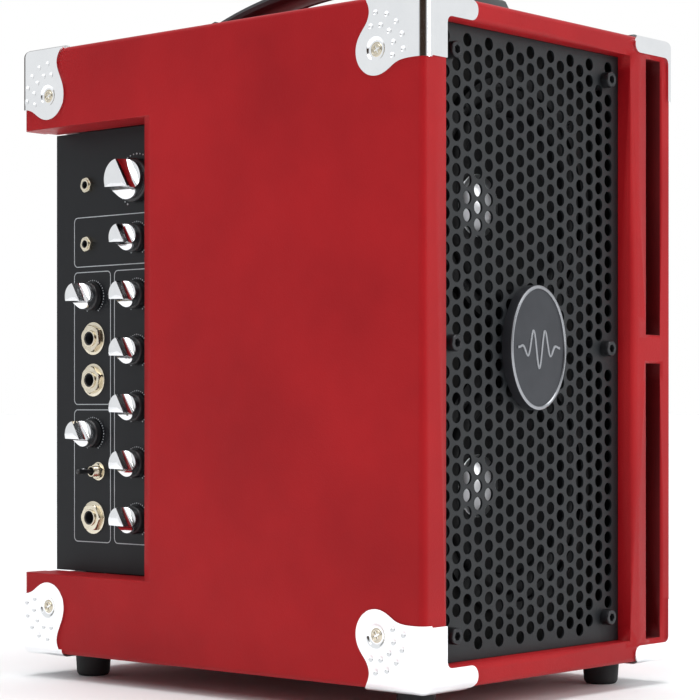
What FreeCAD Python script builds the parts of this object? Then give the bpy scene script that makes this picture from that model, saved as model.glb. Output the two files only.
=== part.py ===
import FreeCAD, Part
import math
import os
import re
import Sketcher
from FreeCAD import Placement, Rotation, Vector

# A small two-driver combo amplifier in a tall cabinet, in millimetres.
# The origin is the middle of the floor area under the feet. +Z is up, -Y is the front, -X the control side.
# Inside the helpers below, places are counted from the cabinet's lower front left corner.

SIZES = {
    "cab_width": 216, "cab_depth": 295, "cab_height": 340,
    "foot_height": 14, "foot_radius": 10.2, "foot_inset": 28, "foot_room": 17,
    "cover_thick": 1, "edge_round": 3, "upright_round": 4,
    "top_thick": 9.5, "base_thick": 10, "left_thick": 15, "right_thick": 9.8,
    "post_left": 175.5, "post_right": 190.5, "port_depth": 215, "port_lining": 30,
    "bridge_low": 162.4, "bridge_high": 178,
    "baffle_front": 22, "baffle_thick": 15,
    "rear_recess": 3, "rear_thick": 10,
    "notch_front": 195, "notch_low": 44.7, "notch_high": 295.3, "notch_deep": 23,
    "panel_thick": 2, "panel_gap": 0.5, "panel_short": 2.3,
    "bay_right": 86, "bay_wall": 9, "sheet_thick": 1.2, "tray_gap": 1,
    "grille_front": 8, "grille_thick": 1.2, "grille_gap": 0.4, "hole_pitch": 8.73, "hole_radius": 3.35,
    "hole_columns": 17, "hole_rows": 35, "first_hole": 20.2, "grille_middle": 96.25,
    "bolt_spread": 66.45, "bolt_low": 25.5, "bolt_mid": 170, "bolt_top": 314.5,
    "bolt_head": 4.25, "bolt_head_high": 5, "bolt_shank": 2.5, "bolt_long": 29, "spacer_radius": 5,
    "badge_width": 48, "badge_high": 64.5, "badge_thick": 6, "badge_mid": 169,
    "woofer_low": 97, "woofer_high": 244.5, "woofer_middle": 96.25,
    "flange_radius": 66, "flange_thick": 4, "cone_mouth": 45, "cap_radius": 16.5,
    "magnet_radius": 45, "magnet_thick": 16, "coil_radius": 12.5,
    "knob_high": 15, "skirt_high": 4.6, "small_knob": 8, "big_knob": 12.25, "scoop_deep": 6,
    "shaft_radius": 3, "shaft_long": 18,
    "fit_gap": 0.05, "knob_gap": 0.6,
    "front_row": 225.6, "rear_row": 262, "eq_low": 75.9, "eq_pitch": 31.3,
    "big_knob_up": 264.7, "aux_knob_up": 232.6, "input_one_up": 123.5, "input_two_up": 201.2,
    "jack_row": 261.1, "jack_one_up": 76, "jack_two_up": 153.9, "jack_three_up": 177.4,
    "jack_bore": 3.25, "jack_long": 30, "mini_row": 265.8, "mini_low": 231.6, "mini_high": 264.1,
    "toggle_row": 256.9, "lamp_row": 269.1, "toggle_up": 102.3,
    "guard_thick": 1.2, "guard_reach": 45, "guard_screw": 4, "screw_shank": 1.6,
    "guard_screw_drop": 26.5, "roof_screw_in": 29, "roof_lobe": 11, "roof_long": 33,
    "side_drop": 32.6, "face_drop": 31.8, "flange_neck": 4.4, "flange_band": 7,
    "front_screw_in": 29.7, "front_lobe": 12.9, "rear_screw_in": 22, "rear_lobe": 13.6,
    "left_strip_wide": 16.8, "left_strip_high": 11, "left_strip_long": 41,
    "right_strip_wide": 5, "right_strip_high": 9, "right_strip_long": 37,
    "handle_front": 41.5, "handle_wide": 28, "handle_thick": 6.5, "handle_rise": 37.5, "handle_arch": 270,
    "bracket_high": 24, "bracket_long": 20, "bracket_wall": 1.5, "bracket_round": 5,
    "handle_shank": 2.4, "handle_screw": 4.6,
    "foot_shank": 1.9, "foot_hollow": 5.5, "foot_hole": 3.2, "foot_washer": 4.6,
    "inlet_in": 35, "inlet_up": 58, "switch_up": 94,
}

doc = FreeCAD.newDocument("combo_amplifier")
sheet = doc.addObject("Spreadsheet::Sheet", "Sizes")
for row, (alias, amount) in enumerate(SIZES.items(), start=1):
    sheet.set("A%d" % row, alias.replace("_", " "))
    sheet.set("B%d" % row, str(amount))
    sheet.setAlias("B%d" % row, alias)
doc.recompute()

WORD = re.compile(r"[a-z]+(?:_[a-z]+)+")
CORNER = ("-cab_width / 2", "-cab_depth / 2", "foot_height")
nodes = []


def bound(text):
    """A sheet expression from plain alias names."""
    return WORD.sub(lambda match: "Sizes." + match.group(0), str(text))


def amount(text):
    """The number that an expression stands for."""
    return float(sheet.evalExpression(bound(text)))


def unique(name):
    """A free internal name for a helper object."""
    count = 1
    while doc.getObject("%s_%d" % (name, count)) is not None:
        count += 1
    return "%s_%d" % (name, count)


def spot(item, x, y, z, towards=(0, 0, 1)):
    """Put an object at a place counted from the cabinet's corner, its own Z turned towards a direction."""
    item.Placement = Placement(Vector(), Rotation(Vector(0, 0, 1), Vector(*towards)))
    for letter, corner, place in zip("xyz", CORNER, (x, y, z)):
        item.setExpression("Placement.Base." + letter, bound("%s + (%s)" % (corner, place)))
    return item


def box(x, y, z, long, wide, high):
    """A box from its lowest corner and its three sides."""
    item = doc.addObject("Part::Box", unique("box"))
    for prop, value in (("Length", long), ("Width", wide), ("Height", high)):
        item.setExpression(prop, bound(value))
    return spot(item, x, y, z)


def between(x, y, z):
    """A box given by its low and high face on each axis."""
    return box(x[0], y[0], z[0], *["(%s) - (%s)" % (pair[1], pair[0]) for pair in (x, y, z)])


def rod(x, y, z, radius, long, towards=(0, 0, 1)):
    """A cylinder from the middle of its first end."""
    item = doc.addObject("Part::Cylinder", unique("rod"))
    item.setExpression("Radius", bound(radius))
    item.setExpression("Height", bound(long))
    return spot(item, x, y, z, towards)


def hexagon(x, y, z, corner_radius, long, towards=(0, 0, 1)):
    """A six-sided prism from the middle of its first end."""
    item = doc.addObject("Part::Prism", unique("hexagon"))
    item.Polygon = 6
    item.setExpression("Circumradius", bound(corner_radius))
    item.setExpression("Height", bound(long))
    return spot(item, x, y, z, towards)


def join(*items):
    """One solid from several that touch."""
    item = doc.addObject("Part::MultiFuse", unique("join"))
    item.Shapes = list(items)
    item.Refine = True
    return item


def cut(base, *tools):
    """A solid with other solids taken out of it."""
    tool = tools[0] if len(tools) == 1 else join(*tools)
    item = doc.addObject("Part::Cut", unique("cut"))
    item.Base = base
    item.Tool = tool
    return item


def common(first, second):
    """The space that two solids share."""
    item = doc.addObject("Part::Common", unique("common"))
    item.Base = first
    item.Tool = second
    return item


def group(*items):
    """Separate solids kept side by side."""
    item = doc.addObject("Part::Compound", unique("group"))
    item.Links = list(items)
    return item


def mirrored(item, normal, middle=(0, 0, 0)):
    """A second piece, reflected in a plane through the middle."""
    twin = doc.addObject("Part::Mirroring", unique("mirrored"))
    twin.Source = item
    twin.Normal = Vector(*normal)
    twin.Base = Vector(*middle)
    return twin


def four_ways(item):
    """A piece near one corner and its three reflections."""
    pair = group(item, mirrored(item, (1, 0, 0)))
    return group(pair, mirrored(pair, (0, 1, 0)))


def node(name, item):
    """Name a finished sub-part."""
    item.Label = name
    nodes.append(item)
    return item


def plane_of(body, role):
    """One of a body's own origin planes."""
    return [feature for feature in body.Origin.OriginFeatures if feature.Role == role][0]


def outline(body, role, corners):
    """A closed outline of straight edges, each corner held by dimensions from the sheet."""
    sketch = body.newObject("Sketcher::SketchObject", unique("outline"))
    sketch.AttachmentSupport = [(plane_of(body, role), "")]
    sketch.MapMode = "FlatFace"
    places = [Vector(amount(u), amount(v), 0) for u, v in corners]
    for start, end in zip(places, places[1:] + places[:1]):
        sketch.addGeometry(Part.LineSegment(start, end), False)
    for index, (corner, place) in enumerate(zip(corners, places)):
        sketch.addConstraint(Sketcher.Constraint("Coincident", index, 2, (index + 1) % len(places), 1))
        for kind, text, value, axis in (("DistanceX", corner[0], place.x, -2),
                                        ("DistanceY", corner[1], place.y, -1)):
            if abs(value) < 1e-9:
                sketch.addConstraint(Sketcher.Constraint("PointOnObject", index, 1, axis))
                continue
            number = sketch.addConstraint(Sketcher.Constraint(kind, -1, 1, index, 1, value))
            sketch.setExpression("Constraints[%d]" % number, bound(text))
    return sketch


def turned(name, corners, x, y, z, towards=(0, 0, 1)):
    """A body turned about its own Z axis from an outline of (radius, height) corners."""
    body = doc.addObject("PartDesign::Body", unique(name))
    sketch = outline(body, "XZ_Plane", corners)
    turn = body.newObject("PartDesign::Revolution", unique(name + "_turn"))
    turn.Profile = sketch
    turn.ReferenceAxis = (sketch, ["V_Axis"])
    turn.Angle = 360
    sketch.Visibility = False
    return spot(body, x, y, z, towards)


def rounded(item, radius, chosen):
    """Round the edges of a solid that a test on each edge's middle picks."""
    doc.recompute()
    item_round = doc.addObject("Part::Fillet", unique("rounded"))
    item_round.Base = item
    size = amount(radius)
    picked = [index for index, edge in enumerate(item.Shape.Edges, start=1) if chosen(edge)]
    item_round.Edges = [(index, size, size) for index in picked]
    return item_round


# ---------------------------------------------------------------- cabinet

LOW_BOARD = "cover_thick + base_thick"
TOP_BOARD = "cab_height - cover_thick - top_thick"
LEFT_BOARD = "cover_thick + left_thick"
RIGHT_BOARD = "cab_width - cover_thick - right_thick"
REAR_FACE = "cab_depth - rear_recess"
REAR_BOARD = "cab_depth - rear_recess - rear_thick"
INNER = (LOW_BOARD, TOP_BOARD)
LEFT = (-1, 0, 0)
RIGHT = (1, 0, 0)
DOWN = (0, 0, -1)
REAR = (0, 1, 0)
FRONT = (0, -1, 0)


def cabinet_block(inset):
    """The cabinet's outer block, taken in by an inset, with its edges rounded."""
    span = ["cab_width", "cab_depth", "cab_height"]
    block = between(*[(inset, "%s - %s" % (side, inset)) for side in span])
    upright = rounded(block, "upright_round - %s" % inset, is_upright)
    return rounded(upright, "edge_round - %s" % inset, is_level)


def is_upright(edge):
    """True on a long upright edge."""
    return edge.BoundBox.ZLength > 100


def is_level(edge):
    """True on a level edge of the block."""
    return edge.BoundBox.ZLength < 1


def recess(grow):
    """The hollow in front of the baffle, grown sideways."""
    return between(("%s + cover_thick - %s" % (LEFT_BOARD, grow), "post_left + %s" % grow),
                   (-1, "baffle_front"),
                   ("%s + cover_thick - %s" % (LOW_BOARD, grow), "%s - cover_thick + %s" % (TOP_BOARD, grow)))


def slots(grow, deep):
    """The two port mouths, grown sideways."""
    side = ("post_right - %s" % grow, "%s - cover_thick + %s" % (RIGHT_BOARD, grow))
    low = ("%s + cover_thick - %s" % (LOW_BOARD, grow), "bridge_low + %s" % grow)
    high = ("bridge_high - %s" % grow, "%s - cover_thick + %s" % (TOP_BOARD, grow))
    return [between(side, (-1, deep), low), between(side, (-1, deep), high)]


def notch(grow):
    """The cut-out of the control side, grown up, down and forwards."""
    return between((-1, "notch_deep"), ("notch_front - %s" % grow, "cab_depth + 1"),
                   ("notch_low - %s" % grow, "notch_high + %s" % grow))


def vinyl():
    """The covering: a skin over the block, turned into the recess, the port mouths and the notch."""
    back = between((LEFT_BOARD, RIGHT_BOARD), (REAR_FACE, "cab_depth + 1"), INNER)
    skin = cut(cabinet_block("0"), cabinet_block("cover_thick"))
    lining = common(cabinet_block("0"), join(recess("cover_thick"), notch("cover_thick"),
                                            *slots("cover_thick", "port_lining")))
    whole = join(skin, lining)
    return cut(whole, recess("0"), notch("0"), back, *slots("0", "port_lining + 1"))


def boards():
    """The wooden boards of the cabinet, all cut from one rounded block."""
    lip = "cover_thick"
    full = (lip, "cab_depth - cover_thick")
    top = between((0, "cab_width"), full, (TOP_BOARD, "cab_height"))
    low = between((0, "cab_width"), full, (0, LOW_BOARD))
    left = between((0, LEFT_BOARD), full, INNER)
    right = between((RIGHT_BOARD, "cab_width"), full, INNER)
    node("top_board", common(cabinet_block(lip), top))
    node("bottom_board", common(cabinet_block(lip), low))
    node("left_side_board", cut(common(cabinet_block(lip), left), notch("cover_thick")))
    node("right_side_board", common(cabinet_block(lip), right))
    node("port_wall", between(("post_left + cover_thick", "post_right - cover_thick"),
                              (lip, "port_depth"), INNER))
    node("port_bridge", between(("post_right - cover_thick", RIGHT_BOARD), (lip, "port_depth"),
                                ("bridge_low + cover_thick", "bridge_high - cover_thick")))


def baffle():
    """The board that carries the woofers."""
    plate = between((LEFT_BOARD, "post_left + cover_thick"),
                    ("baffle_front", "baffle_front + baffle_thick"), INNER)
    holes = [rod("woofer_middle", "baffle_front - 1", up, "flange_radius - 6", "baffle_thick + 2", REAR)
             for up in ("woofer_low", "woofer_high")]
    node("front_baffle", cut(plate, *holes))


def electronics_bay():
    """Inner walls that keep the electronics out of the speaker's air space."""
    front = ("notch_front - cover_thick - bay_wall", "notch_front - cover_thick")
    along = ("notch_front - cover_thick", REAR_BOARD)
    outer = ("notch_low - cover_thick - bay_wall", "notch_high + cover_thick + bay_wall")
    node("bay_front_wall", between((LEFT_BOARD, "bay_right + bay_wall"), front, outer))
    node("bay_inner_wall", between(("bay_right", "bay_right + bay_wall"), along, outer))
    low = between((LEFT_BOARD, "bay_right"), along, (outer[0], "notch_low - cover_thick"))
    high = between((LEFT_BOARD, "bay_right"), along, ("notch_high + cover_thick", outer[1]))
    node("bay_end_walls", group(low, high))


def rear_board():
    """The rear board, open where the electronics slide in."""
    plate = between((LEFT_BOARD, RIGHT_BOARD), (REAR_BOARD, REAR_FACE), INNER)
    opening = between((0, "bay_right"), (0, "cab_depth"),
                      ("notch_low - cover_thick", "notch_high + cover_thick"))
    node("rear_board", cut(plate, opening))


def feet():
    """Four tapered rubber feet, each with a washer-head screw in its hollow."""
    place = ("foot_inset", "foot_inset", "0")
    floor = "-foot_height"
    shape = [("foot_hole", 0), ("foot_radius", 0), ("foot_radius - 0.9", floor + " + 1.5"),
             ("foot_radius - 2.2", floor), ("foot_hollow", floor), ("foot_hollow", "-5"), ("foot_hole", "-5")]
    node("rubber_feet", four_ways(turned("foot", shape, *place)))
    screw = [("0", "9"), ("foot_shank", "9"), ("foot_shank", "-5.2"), ("foot_washer", "-5.2"),
             ("foot_washer", "-7.6"), ("0", "-7.6")]
    node("foot_screws", four_ways(turned("foot_screw", screw, *place)))
    return four_ways(rod("foot_inset", "foot_inset", "-1", "foot_shank", "10"))


def guard(inward, lobe, strip):
    """A pressed corner guard at the top front left, its flanges cut to their outlines."""
    wide, high, long = [strip + part for part in ("_wide", "_high", "_long")]
    span = ("-guard_thick", "guard_reach")
    outer = between(span, span, ("cab_height - guard_reach", "cab_height + guard_thick"))
    outer = rounded(outer, "upright_round + guard_thick", near_corner_upright)
    outer = rounded(outer, "edge_round + guard_thick", near_corner_level)
    screw_up = "cab_height - guard_screw_drop"
    low_band = "cab_height - flange_band"
    past = "-guard_thick - 1"
    ceiling = "cab_height + guard_thick + 1"
    side = [between((past, "flange_band"), (past, inward), ("cab_height - side_drop", ceiling)),
            between((past, "flange_band"), (past, inward + " + flange_neck"), (screw_up, ceiling)),
            rod(past, inward, screw_up, lobe, "flange_band + 2", RIGHT)]
    roof = [between((past, "roof_long"), (past, inward), (low_band, ceiling)),
            rod("roof_screw_in", inward, low_band, "roof_lobe", "flange_band + 3"),
            between((past, "roof_screw_in"), (past, inward + " + flange_neck"), (low_band, ceiling))]
    tip = "%s - %s / 2" % (long, high)
    face = [between((past, wide), (past, "flange_band"), ("cab_height - face_drop", ceiling)),
            between((past, tip), (past, "flange_band"), ("cab_height - " + high, ceiling)),
            rod(tip, past, "cab_height - %s / 2" % high, high + " / 2", "flange_band", REAR)]
    shell = cut(outer, cabinet_block("0"))
    return common(shell, join(*side, *roof, *face))


def near_corner_upright(edge):
    """True on a guard's outermost upright edge."""
    middle = edge.BoundBox.Center
    return (edge.BoundBox.ZLength > 20 and middle.x < -amount("cab_width") / 2
            and middle.y < -amount("cab_depth") / 2)


def near_corner_level(edge):
    """True on a guard's two outer edges at the top."""
    middle = edge.BoundBox.Center
    left = middle.x < -amount("cab_width") / 2 and edge.BoundBox.YLength > 20
    front = middle.y < -amount("cab_depth") / 2 and edge.BoundBox.XLength > 20
    return edge.BoundBox.ZMin > amount("foot_height + cab_height") and (left or front)


def up_and_down(item):
    """A piece near the top and its reflection near the bottom."""
    return group(item, flipped(item, (0, 0, 1)))


def flipped(item, normal):
    """The reflection of a piece in the cabinet's middle plane."""
    twin = mirrored(item, normal)
    twin.setExpression("Base.z", bound("foot_height + cab_height / 2"))
    return twin


def guard_screws(side_in):
    """The cross-head screws of the left corner guards at one end: both side ones and the top one."""
    rise = "cab_height - guard_screw_drop"
    side = join(rod(0, side_in, rise, "screw_shank", 9, RIGHT),
                rod(0, side_in, rise, "guard_screw", "guard_thick", LEFT))
    top = join(rod("roof_screw_in", side_in, "cab_height", "screw_shank", 8, DOWN),
               rod("roof_screw_in", side_in, "cab_height", "guard_screw", "guard_thick"))
    return group(up_and_down(side), top)


def corner_guards():
    """Eight corner guards, their screws, and the holes that the screws need."""
    left_front = guard("front_screw_in", "front_lobe", "left_strip")
    right_front = mirrored(guard("front_screw_in", "front_lobe", "right_strip"), RIGHT)
    rear_left = mirrored(guard("rear_screw_in", "rear_lobe", "right_strip"), REAR)
    rear_pair = group(rear_left, mirrored(rear_left, RIGHT))
    front_screws = guard_screws("front_screw_in")
    rear_screws = mirrored(guard_screws("rear_screw_in"), REAR)
    screws = group(*[group(item, mirrored(item, RIGHT)) for item in (front_screws, rear_screws)])
    node("corner_screws", screws)
    foot_clearance = four_ways(between(("foot_room", "50"), ("foot_room", "50"), ("-5", "0")))
    node("front_corner_guards", cut(up_and_down(group(left_front, right_front)), screws, foot_clearance))
    node("rear_corner_guards", cut(up_and_down(rear_pair), screws, foot_clearance))
    return screws


def handle():
    """The carrying handle: an arched strap in two end brackets, each held by a screw."""
    top = "cab_height"
    middle = "cab_width / 2"
    side = [middle + sign + " handle_wide / 2" for sign in (" -", " +")]
    axle = top + " + handle_rise - handle_arch"
    outer = rod(side[0], "cab_depth / 2", axle, "handle_arch", "handle_wide", RIGHT)
    inner = rod(side[0] + " - 1", "cab_depth / 2", axle, "handle_arch - handle_thick", "handle_wide + 2", RIGHT)
    length = between(side, ("handle_front + 8", "cab_depth - handle_front - 8"),
                     (top + " + 5", top + " + handle_rise + 1"))
    strap = common(cut(outer, inner), length)
    wide = (side[0] + " - bracket_wall", side[1] + " + bracket_wall")
    block = between(wide, ("handle_front", "handle_front + bracket_long"), (top, top + " + bracket_high"))
    shaped = rounded(block, "bracket_round", upper_bracket_edge)
    brackets = group(shaped, mirrored(shaped, REAR))
    at = (middle, "handle_front + bracket_long / 2")
    screw = join(rod(*at, top + " - 8", "handle_shank", "bracket_high + 5"),
                 rod(*at, top + " + bracket_high - 3", "handle_screw", "3.4"))
    screws = group(screw, mirrored(screw, REAR))
    node("handle_screws", screws)
    node("handle_strap", cut(strap, screws))
    node("handle_brackets", cut(brackets, join(strap, screws)))
    return screws


def upper_bracket_edge(edge):
    """True on the upper edges of a handle bracket."""
    return edge.BoundBox.ZMin > amount("foot_height + cab_height + bracket_high") - 1


# ---------------------------------------------------------------- front

def along_front(build):
    """Six of a piece, at the grille's fixing points."""
    places = [("grille_middle " + side + " bolt_spread", up)
              for side in "-+" for up in ("bolt_low", "bolt_mid", "bolt_top")]
    return group(*[build(x, z) for x, z in places])


def grille_bolt(x, z):
    """A socket-cap screw that stands on the grille and reaches into the baffle."""
    head = rod(x, "grille_front", z, "bolt_head", "bolt_head_high", FRONT)
    shank = rod(x, "grille_front", z, "bolt_shank", "bolt_long", REAR)
    socket = hexagon(x, "grille_front - bolt_head_high - 1", z, "2.31", "3.6", REAR)
    return cut(join(head, shank), socket)


def grille_shank(x, z):
    """The room that a grille screw's shank takes."""
    return rod(x, "grille_front - 1", z, "bolt_shank", "bolt_long + 1", REAR)


def grille_spacer(x, z):
    """A tube that holds the grille off the baffle."""
    back = "grille_front + grille_thick"
    tube = rod(x, back, z, "spacer_radius", "baffle_front - grille_front - grille_thick", REAR)
    return cut(tube, rod(x, "grille_front", z, "bolt_shank", "baffle_front", REAR))


def grille():
    """The perforated steel sheet: upright columns of holes, every second column half a pitch lower."""
    corner = Vector(*[amount(text) for text in CORNER])
    gap = amount("grille_gap")
    low = Vector(amount(LEFT_BOARD + " + cover_thick") + gap, amount("grille_front"),
                 amount(LOW_BOARD + " + cover_thick") + gap / 2) + corner
    high = Vector(amount("post_left") - gap, 0, amount(TOP_BOARD + " - cover_thick") - gap / 2) + corner
    plate = Part.makeBox(high.x - low.x, 1, high.z - low.z, low).Faces
    front = [face for face in plate if abs(face.CenterOfMass.y - low.y) < 1e-6][0]
    pitch = amount("hole_pitch")
    columns = int(amount("hole_columns"))
    rows = int(amount("hole_rows"))
    wires = [front.OuterWire]
    for column in range(columns):
        x = corner.x + amount("grille_middle") + (column - (columns - 1) / 2) * pitch
        start = corner.z + amount("first_hole") + (0 if column % 2 else pitch / 2)
        for row in range(rows):
            middle = Vector(x, low.y, start + row * pitch)
            circle = Part.Edge(Part.Circle(middle, Vector(0, -1, 0), amount("hole_radius")))
            if all(abs(x - bx) > 6 or abs(middle.z - bz) > 6 for bx, bz in bolt_places()):
                wires.append(Part.Wire([circle]))
    for bx, bz in bolt_places():
        hole = Part.Circle(Vector(bx, low.y, bz), Vector(0, -1, 0), amount("bolt_shank"))
        wires.append(Part.Wire([Part.Edge(hole)]))
    sheet_face = Part.Face(wires, "Part::FaceMakerBullseye")
    solid = sheet_face.extrude(Vector(0, amount("grille_thick"), 0))
    item = doc.addObject("Part::Feature", "grille_sheet")
    item.Shape = solid
    node("grille", item)


def bolt_places():
    """Where the grille screws go, in the part's own frame."""
    corner = Vector(*[amount(text) for text in CORNER])
    return [(corner.x + amount("grille_middle " + side + " bolt_spread"), corner.z + amount(up))
            for side in "-+" for up in ("bolt_low", "bolt_mid", "bolt_top")]


def badge():
    """The oval badge on the grille."""
    oval = doc.addObject("Part::Ellipse", unique("oval"))
    oval.setExpression("MajorRadius", bound("badge_high / 2"))
    oval.setExpression("MinorRadius", bound("badge_width / 2"))
    spot(oval, "grille_middle", "grille_front", "badge_mid")
    oval.Placement.Rotation = Rotation(Vector(0, 0, 1), Vector(1, 0, 0), Vector(0, 1, 0))
    item = doc.addObject("Part::Extrusion", unique("badge"))
    item.Base = oval
    item.DirMode = "Custom"
    item.Dir = Vector(0, -1, 0)
    item.setExpression("LengthFwd", bound("badge_thick"))
    item.Solid = True
    node("grille_badge", item)


# ---------------------------------------------------------------- woofers

WOOFERS = {"lower": "woofer_low", "upper": "woofer_high"}


def per_woofer(name, corners):
    """A turned piece of both woofers, its heights counted rearwards from the baffle's face."""
    return group(*[turned(name, corners, "woofer_middle", "baffle_front", up, REAR)
                   for up in WOOFERS.values()])


def basket():
    """The cast frame: a flange on the baffle, a tapering wall with windows, and a seat for the magnet."""
    corners = [("flange_radius", "-flange_thick"), ("flange_radius", 0), ("58.5", 0), ("58.5", 8),
               ("44.5", 38), ("44.5", 42), (20, 42), (20, 39.5), (42, 39.5), (42, 38), ("55.5", 7.5),
               ("55.5", -1), (60, -1), (60, "-flange_thick")]
    solids = []
    for up in WOOFERS.values():
        shell = turned("basket", corners, "woofer_middle", "baffle_front", up, REAR)
        windows = [between(("woofer_middle - 70", "woofer_middle + 70"),
                           ("baffle_front + 12", "baffle_front + 34"), (up + " - 15", up + " + 15")),
                   between(("woofer_middle - 15", "woofer_middle + 15"),
                           ("baffle_front + 12", "baffle_front + 34"), (up + " - 70", up + " + 70"))]
        solids.append(cut(shell, *windows))
    return group(*solids)


def spider_outline():
    """A corrugated ring between the voice coil and the basket."""
    steps = 9
    first = 14.2
    last = 42.6
    ripple = [(first + (last - first) * step / steps, 33 + 1.5 * (step % 2)) for step in range(steps + 1)]
    return ripple + [(radius, height + 0.8) for radius, height in reversed(ripple)]


def cone(name, up):
    """A paper cone and its voice coil former, and the dust cap that closes it."""
    mouth = "cone_mouth"
    paper = [(mouth, 2), (13.6, "2 + (cone_mouth - 13.6) * 0.7"), (13.6, "4 + (cone_mouth - 13.6) * 0.7"),
             (13.1, "4 + (cone_mouth - 13.6) * 0.7"), (13.1, "1.2 + (cone_mouth - 13.6) * 0.7"),
             (mouth, 1.2)]
    former = [("coil_radius", 24), ("coil_radius + 0.55", 24), ("coil_radius + 0.55", 54),
              ("coil_radius", 54)]
    place = ("woofer_middle", "baffle_front", up, REAR)
    node(name + "_cone", group(turned("paper", paper, *place), turned("former", former, *place)))
    rim = "0.7 + (cone_mouth - cap_radius) * 0.7"
    dome = [("cap_radius", rim), ("cap_radius * 0.87", rim + " - 2.6"), ("cap_radius * 0.67", rim + " - 4.6"),
            ("cap_radius * 0.4", rim + " - 6"), ("0", rim + " - 6.6"), ("0", rim + " - 5.8"),
            ("cap_radius * 0.4", rim + " - 5.2"), ("cap_radius * 0.64", rim + " - 3.9"),
            ("cap_radius * 0.83", rim + " - 2.2"), ("cap_radius - 1", rim)]
    node(name + "_dust_cap", turned("dome", dome, *place))


def woofer_screws():
    """The four screws of each woofer's flange."""
    reach = "(flange_radius - 3) * 0.7071"
    screws = []
    for up in WOOFERS.values():
        for side in "-+":
            for rise in "-+":
                place = ("woofer_middle %s %s" % (side, reach), "baffle_front - flange_thick",
                         "%s %s %s" % (up, rise, reach))
                screws.append(join(rod(*place, "1.9", "17", REAR), rod(*place, "2.8", "2", FRONT)))
    return group(*screws)


def woofers():
    """Both drivers, and the screws that hold them."""
    screws = woofer_screws()
    node("woofer_screws", screws)
    node("woofer_baskets", cut(basket(), screws))
    roll = [(59.7, -1), (59.7, -2), (56, -2), (54.6, -4), (51, -5.4), (47.4, -4), ("cone_mouth", 0.9),
            (47, 0.1), (48.4, -3.2), (51, -4.4), (53.6, -3.2), (55.2, -1)]
    node("woofer_surrounds", per_woofer("roll", roll))
    node("woofer_spiders", per_woofer("spider", spider_outline()))
    node("woofer_front_plates", per_woofer("plate", [(13.5, 42), (40, 42), (40, 47), (13.5, 47)]))
    node("woofer_magnets", per_woofer("magnet", [(18, 47), ("magnet_radius", 47),
                                                 ("magnet_radius", "47 + magnet_thick"),
                                                 (18, "47 + magnet_thick")]))
    pole = [(4, 43), (12.1, 43), (12.1, "47 + magnet_thick"), (43, "47 + magnet_thick"),
            (43, "53 + magnet_thick"), (4, "53 + magnet_thick")]
    node("woofer_yokes", per_woofer("pole", pole))
    for name, up in WOOFERS.items():
        cone(name, up)
    return screws


# ---------------------------------------------------------------- controls

PANEL = "notch_deep"
BACK = "notch_deep + panel_thick"
KNOBS = {
    "volume_knob": ("front_row", "big_knob_up", "big_knob"),
    "aux_knob": ("front_row", "aux_knob_up", "small_knob"),
    "treble_knob": ("front_row", "eq_low + eq_pitch * 4", "small_knob"),
    "high_mid_knob": ("front_row", "eq_low + eq_pitch * 3", "small_knob"),
    "middle_knob": ("front_row", "eq_low + eq_pitch * 2", "small_knob"),
    "low_mid_knob": ("front_row", "eq_low + eq_pitch", "small_knob"),
    "bass_knob": ("front_row", "eq_low", "small_knob"),
    "input_one_knob": ("rear_row", "input_one_up", "small_knob"),
    "input_two_knob": ("rear_row", "input_two_up", "small_knob"),
}
JACKS = {"one": "jack_one_up", "two": "jack_two_up", "three": "jack_three_up"}
POINTER = math.radians(240)
WEDGE = math.radians(28.5)
CAP_SHARE = 0.9
TIP_SHARE = 0.756


def knob(radius, y, z):
    """A pointer knob at its lowest setting, turned on the end of the control's shaft."""
    cap = "%s * %s" % (radius, CAP_SHARE)
    corners = [("shaft_radius", 4), ("shaft_radius", 12.5), (0, 12.5), (0, "knob_high"), (cap, "knob_high"),
               (cap, "skirt_high"), (radius + " - 0.2", "skirt_high"), (radius, "knob_gap"),
               (radius + " - 1.8", "knob_gap"), (radius + " - 1.8", 4)]
    body = turned("knob", corners, PANEL, y, z, LEFT)
    whole = amount_of(body)
    for side in (-1, 1):
        sketch = outline(body, "XY_Plane", scoop_corners(radius, side))
        sketch.setExpression("AttachmentOffset.Base.z", bound("knob_high"))
        scoop = body.newObject("PartDesign::Pocket", unique("scoop"))
        scoop.Profile = sketch
        scoop.setExpression("Length", bound("scoop_deep"))
        sketch.Visibility = False
    if amount_of(body) >= whole - 1:
        raise RuntimeError("a knob's scoop cut nothing")
    shaft = rod(BACK + " + 3.6", y, z, "shaft_radius", "shaft_long", LEFT)
    return group(body, shaft)


def amount_of(body):
    """The volume of a body once it is up to date."""
    doc.recompute()
    return body.Shape.Volume


def scoop_corners(radius, side):
    """The area beside the pointer wedge that is taken down, as corners in multiples of the radius."""
    tip = along((0, 0), POINTER, TIP_SHARE)
    run = POINTER + math.pi + side * WEDGE
    out = run + side * math.pi / 2
    start = along(tip, run, -0.8)
    end = along(tip, run, 2.2)
    corners = [start, end, along(end, out, 1.2), along(start, out, 1.2)]
    return [("%s * %.4f" % (radius, u), "%s * %.4f" % (radius, v)) for u, v in corners]


def along(point, turn, length):
    """A point moved by a length in a direction given as an angle."""
    return (point[0] + length * math.cos(turn), point[1] + length * math.sin(turn))


def potentiometer(y, z):
    """A control: a round case, a bush through the panel and a nut, bored for the shaft."""
    case = rod(BACK, y, z, "8", "9", (1, 0, 0))
    bush = rod(BACK, y, z, "4", "panel_thick + 3.4", LEFT)
    nut = hexagon(PANEL, y, z, "5.7", "2.2", LEFT)
    bore = rod(BACK + " + 3.7", y, z, "shaft_radius + fit_gap", "12", LEFT)
    return cut(join(case, bush, nut), bore)


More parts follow.
